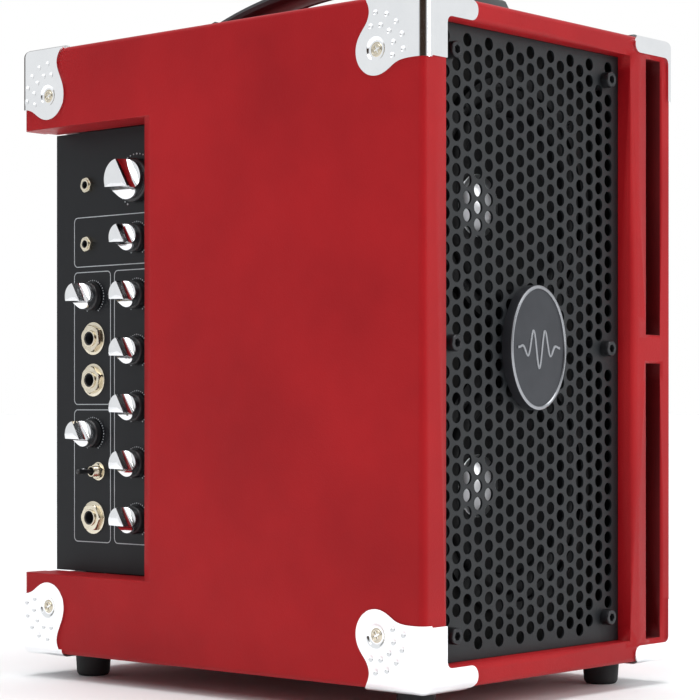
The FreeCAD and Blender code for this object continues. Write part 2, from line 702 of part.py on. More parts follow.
def quarter_inch_jack(z):
    """A jack socket: case, bush, washer and six-sided nut, with a blind bore."""
    y = "jack_row"
    case = between((BACK, "notch_deep + jack_long + 1"), (y + " - 9", y + " + 9"), (z + " - 10", z + " + 10"))
    bush = rod(BACK, y, z, "4.7", "panel_thick + 4", LEFT)
    washer = rod(PANEL, y, z, "8.2", "0.8", LEFT)
    nut = hexagon("notch_deep - 0.8", y, z, "8", "2.2", LEFT)
    bore = rod("notch_deep - 4 + jack_long", y, z, "jack_bore", "jack_long + 2", LEFT)
    return cut(join(case, bush, washer, nut), bore)


def mini_jack(z):
    """A small jack socket with its nut."""
    y = "mini_row"
    case = between((BACK, BACK + " + 12"), (y + " - 4.5", y + " + 4.5"), (z + " - 5", z + " + 5"))
    bush = rod(BACK, y, z, "3", "panel_thick + 2.2", LEFT)
    nut = hexagon(PANEL, y, z, "4.6", "1.8", LEFT)
    bore = rod(BACK + " + 11", y, z, "1.8", "20", LEFT)
    return cut(join(case, bush, nut), bore)


def toggle_switch():
    """A three-position switch: a fixed case with a bush and nut, and a lever that tilts in the bush."""
    place = ("toggle_row", "toggle_up")
    case = between((BACK, BACK + " + 11"), (place[0] + " - 6.5", place[0] + " + 6.5"),
                   (place[1] + " - 4", place[1] + " + 4"))
    bush = rod(BACK, *place, "3.1", "panel_thick + 6", LEFT)
    nut = hexagon(PANEL, *place, "4.9", "2", LEFT)
    bore = rod(BACK + " + 2", *place, "2.3", "14", LEFT)
    node("toggle_switch", cut(join(case, bush, nut), bore))
    lever = [(0, 1.2), (1.3, 1.7), (1.8, 3), (1.3, 4.3), (1.05, 5), (1.6, 14.6), (1.2, 16), (0, 16.6)]
    node("toggle_lever", turned("lever", lever, PANEL, *place, LEFT))


def lamp():
    """The clip light's clear lens."""
    shape = [(0, -4), (1.5, -4), (1.5, 1), (1.2, 1.8), (0.6, 2.3), (0, 2.4)]
    node("clip_lamp", turned("lens", shape, PANEL, "lamp_row", "toggle_up", LEFT))


def panel_holes():
    """The room that every control needs in the panel."""
    start = (PANEL + " - 1",)
    deep = "panel_thick + 2"
    holes = [rod(*start, y, z, "4", deep, (1, 0, 0)) for y, z, radius in KNOBS.values()]
    holes += [rod(*start, "jack_row", z, "4.7", deep, (1, 0, 0)) for z in JACKS.values()]
    holes += [rod(*start, "mini_row", z, "3", deep, (1, 0, 0)) for z in ("mini_low", "mini_high")]
    holes.append(rod(*start, "toggle_row", "toggle_up", "3.1", deep, (1, 0, 0)))
    holes.append(rod(*start, "lamp_row", "toggle_up", "1.5", deep, (1, 0, 0)))
    return holes


def controls():
    """The control panel and everything on it."""
    plate = between((PANEL, BACK), ("notch_front + panel_gap", "cab_depth - panel_short"),
                    ("notch_low + panel_gap", "notch_high - panel_gap"))
    node("control_panel", cut(plate, *panel_holes()))
    for name, (y, z, radius) in KNOBS.items():
        node(name, knob(radius, y, z))
    node("potentiometers", group(*[potentiometer(y, z) for y, z, radius in KNOBS.values()]))
    node("quarter_inch_jacks", group(*[quarter_inch_jack(z) for z in JACKS.values()]))
    node("mini_jacks", group(*[mini_jack(z) for z in ("mini_low", "mini_high")]))
    toggle_switch()
    lamp()


# ---------------------------------------------------------------- electronics and rear

TRAY_END = "bay_right - 1"
PLATE_FRONT = "cab_depth - rear_recess"


def chassis():
    """The sheet tray behind the panel, the boards and the transformer in it."""
    top = "notch_high - tray_gap"
    low = "notch_low + tray_gap"
    front = "notch_front + tray_gap"
    outer = between((BACK, TRAY_END), (front, PLATE_FRONT), (low, top))
    inner = between((0, TRAY_END + " - sheet_thick"), (front + " + sheet_thick", "cab_depth"),
                    (low + " + sheet_thick", top + " - sheet_thick"))
    node("chassis_tray", cut(outer, inner))
    node("control_board", between((BACK + " + 9.2", BACK + " + 10.8"), ("front_row - 14", "front_row + 14"),
                                  ("eq_low - 12", "big_knob_up + 14")))
    node("power_board", between((TRAY_END + " - 7", TRAY_END + " - 5.4"), (front + " + 8", "cab_depth - 42"),
                                (low + " + 8", "jack_two_up + 36")))
    core = between((TRAY_END + " - 38", TRAY_END + " - sheet_thick"), (front + " + 6", front + " + 46"),
                   (top + " - 60", top + " - 8"))
    winding = rod(TRAY_END + " - 39", front + " + 26", top + " - 34", "17", "6", (1, 0, 0))
    node("transformer", join(core, winding))


REAR_SCREWS = [("bay_right + 8", 60), ("bay_right + 8", 280), ("bay_right + 8", 170),
               ("cab_width - 16", 24), ("cab_width - 16", 170), ("cab_width - 16", 316), (110, 18), (110, 322)]


def rear_screw(x, z):
    """A pan-head screw in the rear board."""
    return join(rod(x, PLATE_FRONT, z, "1.9", 9, FRONT), rod(x, PLATE_FRONT, z, "3.6", "2.2", REAR))


def rear():
    """The rear plate with the mains inlet and the power rocker, and the rear screws."""
    inlet = ("bay_right - inlet_in", "notch_low + inlet_up")
    switch = ("bay_right - inlet_in", "notch_low + switch_up")
    plate = between((BACK + " + 0.5", "bay_right - 0.6"), (PLATE_FRONT, "cab_depth - rear_recess + 1.5"),
                    ("notch_low + 1.5", "notch_high - 1.5"))
    inlet_hole = between((inlet[0] + " - 13.7", inlet[0] + " + 13.7"), (0, "cab_depth"),
                         (inlet[1] + " - 10", inlet[1] + " + 10"))
    switch_hole = between((switch[0] + " - 10", switch[0] + " + 10"), (0, "cab_depth"),
                          (switch[1] + " - 6.5", switch[1] + " + 6.5"))
    node("rear_plate", cut(plate, inlet_hole, switch_hole))
    face = "cab_depth - rear_recess + 1.5"
    flange = between((inlet[0] + " - 17", inlet[0] + " + 17"), (face, face + " + 2"),
                     (inlet[1] + " - 13", inlet[1] + " + 13"))
    case = between((inlet[0] + " - 13.7", inlet[0] + " + 13.7"), ("cab_depth - 26", face + " + 1"),
                   (inlet[1] + " - 10", inlet[1] + " + 10"))
    hollow = between((inlet[0] + " - 12", inlet[0] + " + 12"), ("cab_depth - 19", "cab_depth + 2"),
                     (inlet[1] + " - 8", inlet[1] + " + 8"))
    pins = [between((inlet[0] + shift + " - 1", inlet[0] + shift + " + 1"), ("cab_depth - 20", "cab_depth - 3"),
                    (inlet[1] + rise + " - 2", inlet[1] + rise + " + 2"))
            for shift, rise in ((" - 7", " - 2"), ("", " + 2.5"), (" + 7", " - 2"))]
    node("mains_inlet", join(cut(join(flange, case), hollow), *pins))
    frame = between((switch[0] + " - 12", switch[0] + " + 12"), (face, face + " + 1.5"),
                    (switch[1] + " - 8.5", switch[1] + " + 8.5"))
    housing = between((switch[0] + " - 10", switch[0] + " + 10"), ("cab_depth - 20", face + " + 1"),
                      (switch[1] + " - 6.5", switch[1] + " + 6.5"))
    window = between((switch[0] + " - 8.6", switch[0] + " + 8.6"), ("cab_depth - 12", "cab_depth + 2"),
                     (switch[1] + " - 5.3", switch[1] + " + 5.3"))
    node("rocker_frame", cut(join(frame, housing), window))
    blade = between((switch[0] + " - 7.6", switch[0] + " + 7.6"), (face + " - 2.2", face + " + 2.2"),
                    (switch[1] + " - 5", switch[1] + " + 5"))
    node("power_rocker", blade)
    screws = group(*[rear_screw(x, z) for x, z in REAR_SCREWS])
    node("rear_screws", screws)
    return screws


# ---------------------------------------------------------------- assembly

def drilled(name, *tools):
    """Take screw holes out of a sub-part that is already named."""
    for index, item in enumerate(nodes):
        if item.Label == name:
            item.Label = name + "_blank"
            result = cut(item, *tools)
            result.Label = name
            nodes[index] = result


boards()
baffle()
electronics_bay()
rear_board()
node("vinyl_cover", vinyl())
foot_holes = feet()
guard_holes = corner_guards()
handle_holes = handle()
grille()
node("grille_screws", along_front(grille_bolt))
node("grille_spacers", along_front(grille_spacer))
badge()
woofer_holes = woofers()
controls()
chassis()
rear_holes = rear()


for board in ("vinyl_cover", "top_board", "bottom_board", "left_side_board", "right_side_board"):
    drilled(board, guard_holes, handle_holes, foot_holes)
drilled("front_baffle", woofer_holes, along_front(grille_shank))
drilled("rear_board", rear_holes)

doc.recompute()
failed = [item.Label for item in doc.Objects if {"Invalid", "Error"} & set(item.State)]
if failed:
    raise RuntimeError("objects failed: " + ", ".join(failed))
os.makedirs("parts", exist_ok=True)
for item in nodes:
    shape = item.Shape
    if shape.isNull() or not shape.isValid():
        raise RuntimeError("bad shape: " + item.Label)
for item in nodes:
    item.Shape.exportStep("parts/%s.step" % item.Label)
print("%d sub-parts written" % len(nodes))
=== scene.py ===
"""The looks of a small two-driver combo amplifier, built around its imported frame."""

import math

import bmesh
import bpy
from mathutils import Matrix, Vector, noise


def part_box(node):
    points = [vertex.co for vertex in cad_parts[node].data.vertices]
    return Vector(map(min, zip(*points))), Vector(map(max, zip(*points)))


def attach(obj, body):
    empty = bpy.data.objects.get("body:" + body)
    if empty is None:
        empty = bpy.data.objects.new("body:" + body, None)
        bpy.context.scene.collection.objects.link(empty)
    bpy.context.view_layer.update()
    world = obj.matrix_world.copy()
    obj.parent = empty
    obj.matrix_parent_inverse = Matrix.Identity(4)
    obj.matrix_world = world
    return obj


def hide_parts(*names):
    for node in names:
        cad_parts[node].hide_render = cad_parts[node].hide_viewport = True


bl_info = {
    "name": "Combo Amplifier Looks",
    "version": (1, 0, 0),
    "blender": (4, 5, 0),
    "location": "View3D > Sidebar > Amplifier",
    "description": "Builds the finished surfaces of a small portable combo amplifier",
    "category": "Object",
}

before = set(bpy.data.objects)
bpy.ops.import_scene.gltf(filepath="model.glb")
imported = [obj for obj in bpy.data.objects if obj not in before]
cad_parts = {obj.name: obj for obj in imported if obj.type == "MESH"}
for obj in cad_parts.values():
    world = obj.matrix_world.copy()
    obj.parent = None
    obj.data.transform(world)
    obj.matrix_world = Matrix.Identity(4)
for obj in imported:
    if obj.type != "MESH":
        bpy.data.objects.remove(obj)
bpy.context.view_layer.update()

MM = 0.001
COVER_LOW, COVER_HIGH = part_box("vinyl_cover")
PANEL_LOW, PANEL_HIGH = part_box("control_panel")
GRILLE_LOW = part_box("grille")[0]
UP = Vector((0, 0, 1))
FRONT = Vector((0, -1, 0))
REAR = Vector((0, 1, 0))
LEFT = Vector((-1, 0, 0))
MERGE = 0.000002
QUARTER = math.pi / 2
KNOBS = [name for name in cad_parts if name.endswith("_knob")]


# ------------------------------------------------------------------ settings

class AmpSizes(bpy.types.PropertyGroup):
    """Sizes that a user may change without touching the frame."""
    wave: bpy.props.FloatProperty(
        name="Cover Waviness", description="How far the glued cover rises and falls",
        default=0.00012, min=0, max=0.0006, unit="LENGTH")
    dimple: bpy.props.FloatProperty(
        name="Dimple Depth", description="Depth of the dimples pressed into the corner guards",
        default=0.00055, min=0, max=0.001, unit="LENGTH")
    edge: bpy.props.FloatProperty(
        name="Edge Rounding", description="Small rounding on turned and moulded edges",
        default=0.00035, min=0.0001, max=0.001, unit="LENGTH")
    ink: bpy.props.FloatProperty(
        name="Print Width", description="Width of the printed lines on the control panel",
        default=0.0005, min=0.0002, max=0.002, unit="LENGTH")


class AmpColours(bpy.types.PropertyGroup):
    """Colours of the main finishes."""
    cover: bpy.props.FloatVectorProperty(
        name="Cover", description="Leatherette colour", subtype="COLOR", size=3,
        default=(0.38, 0.009, 0.013), min=0, max=1)
    cover_dark: bpy.props.FloatVectorProperty(
        name="Cover Shade", description="Leatherette colour in its darker patches", subtype="COLOR",
        size=3, default=(0.26, 0.004, 0.008), min=0, max=1)
    coat: bpy.props.FloatVectorProperty(
        name="Grille Coat", description="Powder coat of the grille", subtype="COLOR", size=3,
        default=(0.011, 0.013, 0.015), min=0, max=1)
    panel: bpy.props.FloatVectorProperty(
        name="Panel Coat", description="Coat of the control panel", subtype="COLOR", size=3,
        default=(0.005, 0.006, 0.008), min=0, max=1)
    ink: bpy.props.FloatVectorProperty(
        name="Print", description="Printed lines and dots", subtype="COLOR", size=3,
        default=(0.42, 0.44, 0.46), min=0, max=1)


# ------------------------------------------------------------------ shader groups

def wire(tree, start, end):
    """Join two shader sockets."""
    tree.links.new(start, end)


def shader_group(name, inputs, outputs):
    """An empty node group with named inputs (name, kind, default) and outputs (name, kind)."""
    tree = bpy.data.node_groups.new(name, "ShaderNodeTree")
    for label, kind, default in inputs:
        socket = tree.interface.new_socket(label, in_out="INPUT", socket_type=kind)
        socket.default_value = default
    for label, kind in outputs:
        tree.interface.new_socket(label, in_out="OUTPUT", socket_type=kind)
    return tree, tree.nodes.new("NodeGroupInput"), tree.nodes.new("NodeGroupOutput")


def noise_texture(tree, scale, detail=2.0, roughness=0.5):
    """A noise texture on the piece's own coordinates. Scale is a number or a socket."""
    place = tree.nodes.new("ShaderNodeTexCoord")
    texture = tree.nodes.new("ShaderNodeTexNoise")
    texture.inputs["Detail"].default_value = detail
    texture.inputs["Roughness"].default_value = roughness
    wire(tree, place.outputs["Object"], texture.inputs["Vector"])
    feed(tree, scale, texture.inputs["Scale"])
    return texture


def feed(tree, value, socket):
    """Give a socket a number or join it to another socket."""
    if isinstance(value, (int, float)):
        socket.default_value = value
    else:
        wire(tree, value, socket)


def math_node(tree, operation, first, second=0.0):
    """One arithmetic node. Its inputs are numbers or sockets."""
    node = tree.nodes.new("ShaderNodeMath")
    node.operation = operation
    feed(tree, first, node.inputs[0])
    feed(tree, second, node.inputs[1])
    return node.outputs[0]


def spread(tree, value, low_in, high_in, low_out=0.0, high_out=1.0):
    """A value moved from one range to another, clamped."""
    node = tree.nodes.new("ShaderNodeMapRange")
    feed(tree, value, node.inputs["Value"])
    for label, amount in (("From Min", low_in), ("From Max", high_in),
                          ("To Min", low_out), ("To Max", high_out)):
        feed(tree, amount, node.inputs[label])
    return node.outputs["Result"]


def four(colour):
    """A colour with full alpha."""
    return (*colour[:3], 1.0)


def mix_colour(tree, factor, first, second):
    """Two colours mixed by a mask."""
    node = tree.nodes.new("ShaderNodeMix")
    node.data_type = "RGBA"
    feed(tree, factor, node.inputs["Factor"])
    for value, socket in ((first, node.inputs["A"]), (second, node.inputs["B"])):
        if isinstance(value, bpy.types.NodeSocket):
            wire(tree, value, socket)
        else:
            socket.default_value = four(value)
    return node.outputs["Result"]


def colour_drift_group():
    """Slow colour change between two shades, as on any real coat."""
    tree, given, result = shader_group(
        "Colour Drift",
        [("Colour", "NodeSocketColor", (1, 1, 1, 1)), ("Shade", "NodeSocketColor", (0, 0, 0, 1)),
         ("Scale", "NodeSocketFloat", 20.0), ("Amount", "NodeSocketFloat", 0.5)],
        [("Colour", "NodeSocketColor"), ("Mask", "NodeSocketFloat")])
    cloud = noise_texture(tree, given.outputs["Scale"], 4.0, 0.6)
    mask = spread(tree, cloud.outputs["Fac"], 0.35, 0.68)
    factor = math_node(tree, "MULTIPLY", mask, given.outputs["Amount"])
    tint = mix_colour(tree, factor, given.outputs["Colour"], given.outputs["Shade"])
    wire(tree, tint, result.inputs["Colour"])
    wire(tree, mask, result.inputs["Mask"])
    return tree


def grain_group():
    """Fine raised grain: cells with soft valleys between them, broken up by noise."""
    tree, given, result = shader_group(
        "Fine Grain",
        [("Cell Scale", "NodeSocketFloat", 900.0), ("Noise Scale", "NodeSocketFloat", 2500.0),
         ("Noise Share", "NodeSocketFloat", 0.4)],
        [("Height", "NodeSocketFloat")])
    place = tree.nodes.new("ShaderNodeTexCoord")
    cells = tree.nodes.new("ShaderNodeTexVoronoi")
    cells.feature = "SMOOTH_F1"
    cells.inputs["Smoothness"].default_value = 0.6
    wire(tree, place.outputs["Object"], cells.inputs["Vector"])
    wire(tree, given.outputs["Cell Scale"], cells.inputs["Scale"])
    speckle = noise_texture(tree, given.outputs["Noise Scale"], 3.0)
    raised = math_node(tree, "SUBTRACT", 1.0, cells.outputs["Distance"])
    share = math_node(tree, "MULTIPLY", speckle.outputs["Fac"], given.outputs["Noise Share"])
    wire(tree, math_node(tree, "ADD", raised, share), result.inputs["Height"])
    return tree


def handling_group():
    """Roughness that drifts between cleaner and more handled patches."""
    tree, given, result = shader_group(
        "Handling",
        [("Roughness", "NodeSocketFloat", 0.5), ("Spread", "NodeSocketFloat", 0.1),
         ("Scale", "NodeSocketFloat", 40.0)],
        [("Roughness", "NodeSocketFloat")])
    cloud = noise_texture(tree, given.outputs["Scale"], 5.0, 0.65)
    centred = math_node(tree, "SUBTRACT", cloud.outputs["Fac"], 0.5)
    change = math_node(tree, "MULTIPLY", centred, given.outputs["Spread"])
    wire(tree, math_node(tree, "ADD", given.outputs["Roughness"], change), result.inputs["Roughness"])
    return tree


GROUP_MAKERS = {"Colour Drift": colour_drift_group, "Fine Grain": grain_group, "Handling": handling_group}


def place_group(tree, name, **values):
    """Put a shared effect into a material with its own values."""
    node = tree.nodes.new("ShaderNodeGroup")
    node.node_tree = bpy.data.node_groups.get(name) or GROUP_MAKERS[name]()
    for label, value in values.items():
        node.inputs[label.replace("_", " ")].default_value = value
    return node


# ------------------------------------------------------------------ materials

def finish(name, colour, shade, roughness, metallic=0.0, drift=(25.0, 0.5), handling=(0.12, 45.0),
           grain=None, **sockets):
    """A principled material with colour drift, uneven roughness and, if asked, fine grain.
    grain is (cell scale, noise scale, height in metres)."""
    material = bpy.data.materials.get(name)
    if material:
        return material
    material = bpy.data.materials.new(name)
    material.use_nodes = True
    tree = material.node_tree
    principled = tree.nodes["Principled BSDF"]
    principled.inputs["Metallic"].default_value = metallic
    for label, value in sockets.items():
        principled.inputs[label.replace("_", " ")].default_value = value
    tint = place_group(tree, "Colour Drift", Colour=four(colour), Shade=four(shade),
                       Scale=drift[0], Amount=drift[1])
    wire(tree, tint.outputs["Colour"], principled.inputs["Base Color"])
    touch = place_group(tree, "Handling", Roughness=roughness, Spread=handling[0], Scale=handling[1])
    wire(tree, touch.outputs["Roughness"], principled.inputs["Roughness"])
    if grain:
        cell_scale, noise_scale, height = grain
        cells = place_group(tree, "Fine Grain", Cell_Scale=cell_scale, Noise_Scale=noise_scale)
        add_bump(material, cells.outputs["Height"], height)
    return material


def add_bump(material, height, distance):
    """Raise a material's surface by a height socket, over a distance in metres."""
    tree = material.node_tree
    bump = tree.nodes.new("ShaderNodeBump")
    bump.inputs["Strength"].default_value = 1.0
    bump.inputs["Distance"].default_value = distance
    wire(tree, height, bump.inputs["Height"])
    wire(tree, bump.outputs["Normal"], tree.nodes["Principled BSDF"].inputs["Normal"])


def settings():
    """The scene's sizes and colours."""
    scene = bpy.context.scene
    return scene.amp_sizes, scene.amp_colours


def leatherette():
    """Embossed vinyl: pebbled grain, faint stretch marks and slow mottling."""
    name = "cover_vinyl"
    if name in bpy.data.materials:
        return bpy.data.materials[name]
    colours = settings()[1]
    material = finish(name, colours.cover, colours.cover_dark, 0.42, drift=(9.0, 0.75), handling=(0.22, 30.0),
                      Specular_IOR_Level=0.22, Specular_Tint=(1.0, 0.55, 0.5, 1.0))
    tree = material.node_tree
    cells = place_group(tree, "Fine Grain", Cell_Scale=1150.0, Noise_Scale=3200.0, Noise_Share=0.7)
    streaks = noise_texture(tree, 260.0, 6.0, 0.7)
    marks = math_node(tree, "MULTIPLY", streaks.outputs["Fac"], 1.6)
    add_bump(material, math_node(tree, "ADD", cells.outputs["Height"], marks), 0.00006)
    return material


def port_shade_lining():
    """The smoother vinyl that lines the port mouths, coloured darker as painted shade inside the slots."""
    return finish("port_vinyl_painted_shade", (0.10, 0.002, 0.003), (0.06, 0.001, 0.002), 0.6, drift=(20.0, 0.6),
                  grain=(1150.0, 3200.0, 0.00004), Specular_IOR_Level=0.15)


def powder_coat():
    """Charcoal powder coat of the grille."""
    coat = settings()[1].coat
    return finish("powder_coat", coat, tuple(c * 0.7 for c in coat), 0.44, drift=(60.0, 0.4),
                  grain=(2200.0, 5200.0, 0.00004), Specular_IOR_Level=0.3)


def panel_coat():
    """Satin black coat of the control panel and the rear plate."""
    coat = settings()[1].panel
    return finish("satin_black", coat, tuple(c * 0.75 for c in coat), 0.42, drift=(40.0, 0.4),
                  grain=(3000.0, 7000.0, 0.00002), Specular_IOR_Level=0.25)


def chrome():
    """Bright chrome plate on pressed steel."""
    return finish("chrome_plate", (0.94, 0.95, 0.96), (0.82, 0.84, 0.86), 0.10, 1.0,
                  drift=(70.0, 0.35), handling=(0.10, 120.0), grain=(500.0, 1500.0, 0.000006))


def knob_chrome():
    """Bright plate on the knob caps, with faint turning marks."""
    return finish("knob_plate", (0.90, 0.91, 0.92), (0.78, 0.79, 0.81), 0.08, 1.0,
                  drift=(160.0, 0.3), handling=(0.06, 200.0), grain=(900.0, 2400.0, 0.000003))


def nickel():
    """Warm nickel plate of the socket nuts."""
    return finish("warm_nickel", (0.75, 0.69, 0.56), (0.56, 0.50, 0.38), 0.22, 1.0,
                  drift=(180.0, 0.5), handling=(0.16, 300.0), grain=(1500.0, 4000.0, 0.000008))


def zinc():
    """Dull zinc plate on hidden steel."""
    return finish("zinc_plate", (0.50, 0.51, 0.52), (0.34, 0.36, 0.38), 0.36, 1.0,
                  drift=(60.0, 0.6), handling=(0.2, 80.0), grain=(700.0, 2600.0, 0.00001))


def black_oxide():
    """Oily black steel of the screws."""
    return finish("black_oxide", (0.030, 0.031, 0.034), (0.014, 0.014, 0.016), 0.30, 0.55,
                  drift=(300.0, 0.6), handling=(0.18, 400.0), grain=(2500.0, 6000.0, 0.00001))


def black_plastic():
    """Satin moulded black plastic."""
    return finish("black_moulding", (0.020, 0.021, 0.023), (0.012, 0.012, 0.013), 0.36,
                  drift=(50.0, 0.5), handling=(0.16, 90.0), grain=(1800.0, 5200.0, 0.00002))


def rubber():
    """Matt black rubber."""
    return finish("matt_rubber", (0.009, 0.009, 0.010), (0.015, 0.015, 0.015), 0.72,
                  drift=(90.0, 0.6), handling=(0.14, 160.0), grain=(1500.0, 4500.0, 0.00004))


def strap_vinyl():
    """Grained grey-black skin of the handle."""
    return finish("strap_skin", (0.022, 0.023, 0.026), (0.012, 0.012, 0.014), 0.46,
                  drift=(60.0, 0.5), handling=(0.2, 90.0), grain=(1300.0, 3600.0, 0.00006))


def alloy():
    """Spun aluminium of the dust caps."""
    return finish("spun_alloy", (0.72, 0.73, 0.75), (0.58, 0.59, 0.62), 0.30, 1.0,
                  drift=(120.0, 0.3), handling=(0.1, 250.0), grain=(900.0, 3000.0, 0.000008))


def cone_paper():
    """Felted black paper of the cones."""
    return finish("felted_paper", (0.004, 0.004, 0.005), (0.009, 0.009, 0.009), 0.78,
                  drift=(220.0, 0.6), grain=(1500.0, 5200.0, 0.00008), Specular_IOR_Level=0.25)


def butyl():
    """Soft black rubber of the surrounds."""
    return finish("butyl_roll", (0.004, 0.004, 0.005), (0.008, 0.008, 0.008), 0.55,
                  drift=(120.0, 0.5), grain=(2500.0, 6500.0, 0.00002), Specular_IOR_Level=0.25)


def cast_coat():
    """Black coat on the drivers' cast frames."""
    return finish("cast_coat", (0.004, 0.004, 0.005), (0.009, 0.009, 0.009), 0.55,
                  drift=(90.0, 0.5), grain=(1200.0, 4200.0, 0.00006), Specular_IOR_Level=0.25)


def black_wood():
    """Black-stained plywood with its grain along the board."""
    material = bpy.data.materials.get("stained_ply")
    if material:
        return material
    material = finish("stained_ply", (0.004, 0.004, 0.004), (0.010, 0.009, 0.008), 0.7,
                      drift=(30.0, 0.7), handling=(0.16, 60.0), Specular_IOR_Level=0.2)
    tree = material.node_tree
    place = tree.nodes.new("ShaderNodeTexCoord")
    stretch = tree.nodes.new("ShaderNodeMapping")
    stretch.inputs["Scale"].default_value = (160.0, 160.0, 9.0)
    fibres = tree.nodes.new("ShaderNodeTexNoise")
    fibres.inputs["Scale"].default_value = 5.0
    fibres.inputs["Detail"].default_value = 6.0
    wire(tree, place.outputs["Object"], stretch.inputs["Vector"])
    wire(tree, stretch.outputs["Vector"], fibres.inputs["Vector"])
    add_bump(material, fibres.outputs["Fac"], 0.00015)
    return material


def spider_cloth():
    """Resin-treated amber cloth."""
    return finish("treated_cloth", (0.30, 0.17, 0.05), (0.20, 0.10, 0.03), 0.8,
                  drift=(160.0, 0.5), grain=(1400.0, 4200.0, 0.0001))


def ferrite():
    """Ground grey-black magnet."""
    return finish("ground_ferrite", (0.055, 0.056, 0.06), (0.035, 0.036, 0.04), 0.55, 0.2,
                  drift=(80.0, 0.5), grain=(1800.0, 5000.0, 0.00003))


def solder_mask():
    """Green circuit board."""
    return finish("solder_mask", (0.012, 0.10, 0.035), (0.006, 0.06, 0.022), 0.3,
                  drift=(140.0, 0.6), grain=(900.0, 3200.0, 0.00001))


def laminations():
    """Varnished transformer plates."""
    return finish("varnished_plates", (0.06, 0.055, 0.05), (0.03, 0.028, 0.026), 0.4, 0.5,
                  drift=(120.0, 0.5), grain=(1500.0, 5200.0, 0.00005))


def print_ink():
    """Pale grey printed ink."""
    ink = settings()[1].ink
    return finish("panel_ink", ink, tuple(c * 0.8 for c in ink), 0.5, drift=(400.0, 0.5),
                  grain=(4000.0, 9000.0, 0.00001))


def clear_lens():
    """Clear moulded lens of the clip light."""
    return finish("clear_moulding", (0.90, 0.92, 0.92), (0.82, 0.85, 0.86), 0.08, drift=(600.0, 0.4),
                  handling=(0.04, 500.0), Transmission_Weight=0.6, IOR=1.49)


def badge_metal():
    """Charcoal anodised face of the badge."""
    return finish("badge_metal", (0.050, 0.053, 0.060), (0.034, 0.036, 0.042), 0.33, 0.6,
                  drift=(60.0, 0.5), grain=(2600.0, 6400.0, 0.00001))


def badge_bright():
    """Brighter raised lines of the badge."""
    return finish("badge_bright", (0.36, 0.37, 0.39), (0.27, 0.28, 0.30), 0.28, 0.85,
                  drift=(90.0, 0.4), grain=(2600.0, 6400.0, 0.00001))


# ------------------------------------------------------------------ mesh helpers

def at(x, y, z):
    """A place counted in millimetres from the cabinet's lower front left corner."""
    return COVER_LOW + Vector((x, y, z)) * MM


def middle(node):
    """The middle of a CAD node's box."""
    low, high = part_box(node)
    return (low + high) / 2


def mesh_of(bm, name):
    """The mesh of a bmesh, its faces turned outwards. The bmesh is freed."""
    bmesh.ops.recalc_face_normals(bm, faces=bm.faces)
    mesh = bpy.data.meshes.new(name)
    bm.to_mesh(mesh)
    bm.free()
    return mesh


def add_object(name, data):
    """A new object in the scene."""
    item = bpy.data.objects.new(name, data)
    bpy.context.scene.collection.objects.link(item)
    return item


def piece(name, bm, materials, body, replaces=(), angle=35.0):
    """Turn a bmesh into a named piece that rides on a body."""
    return dress(mesh_of(bm, name), name, materials, body, replaces, angle)


def dress(mesh, name, materials, body, replaces=(), angle=35.0):
    """Make a mesh a piece: object, shading, materials, body and what it stands for."""
    item = add_object(name, mesh)
    mesh.polygons.foreach_set("use_smooth", [True] * len(mesh.polygons))
    mesh.set_sharp_from_angle(angle=math.radians(angle))
    for material in materials if isinstance(materials, (list, tuple)) else [materials]:
        mesh.materials.append(material)
    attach(item, body)
    if replaces:
        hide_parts(*replaces)
    return item


def facing(place, towards):
    """A matrix that stands local Z along a direction at a place, local Y as near up as it goes."""
    z = Vector(towards).normalized()
    side = UP.cross(z) if abs(z.z) < 0.9 else Vector((1, 0, 0))
    x = side.normalized()
    y = z.cross(x)
    turn = Matrix((x, y, z)).transposed().to_4x4()
    return Matrix.Translation(place) @ turn


def add_ring(bm, matrix, sizes, height):
    """Add a ring of points about local Z, one for each distance from it, in millimetres."""
    ring = []
    for step, size in enumerate(sizes):
        turn = 2 * math.pi * step / len(sizes)
        spot = Vector((math.cos(turn) * size * MM, math.sin(turn) * size * MM, height * MM))
        ring.append(bm.verts.new(matrix @ spot))
    return ring


def add_turned(bm, outline, place, towards, segments=48, closed=True):
    """Add a turned solid: (radius, height) corners in millimetres about a local Z axis."""
    matrix = facing(place, towards)
    rings = [add_ring(bm, matrix, [radius] * (segments if radius > 1e-6 else 1), height)
             for radius, height in outline]
    join_rings(bm, rings, closed)


def join_rings(bm, rings, closed=False, ends=False):
    """Faces from ring to ring. closed joins the last to the first, ends fills both of them."""
    for first, second in zip(rings, rings[1:] + (rings[:1] if closed else [])):
        bridge_rings(bm, first, second)
    if ends:
        bm.faces.new(rings[0])
        bm.faces.new(rings[-1][::-1])


def bridge_rings(bm, first, second, index=0):
    """Faces between two rings, either of which may be a single point."""
    if len(first) == 1 and len(second) == 1:
        return
    count = max(len(first), len(second))
    for step in range(count):
        after = (step + 1) % count
        corners = [first[step % len(first)], first[after % len(first)],
                   second[after % len(second)], second[step % len(second)]]
        unique = list(dict.fromkeys(corners))
        if len(unique) > 2:
            face = bm.faces.new(unique)
            face.material_index = index


def soften(outline, size=0.35, steps=2):
    """Round the corners of a (radius, height) outline with short arcs, in millimetres."""
    result = []
    count = len(outline)
    for index, corner in enumerate(outline):
        here = Vector(corner)
        before = Vector(outline[index - 1])
        after = Vector(outline[(index + 1) % count])
        if here.x < 1e-6:
            result.append(tuple(here))
            continue
        reach_back = min(size, (before - here).length * 0.45)
        reach_on = min(size, (after - here).length * 0.45)
        start = here + (before - here).normalized() * reach_back
        end = here + (after - here).normalized() * reach_on
        for step in range(steps + 1):
            t = step / steps
            point = start * (1 - t) ** 2 + here * (2 * t * (1 - t)) + end * t ** 2
            result.append(tuple(point))
    return result


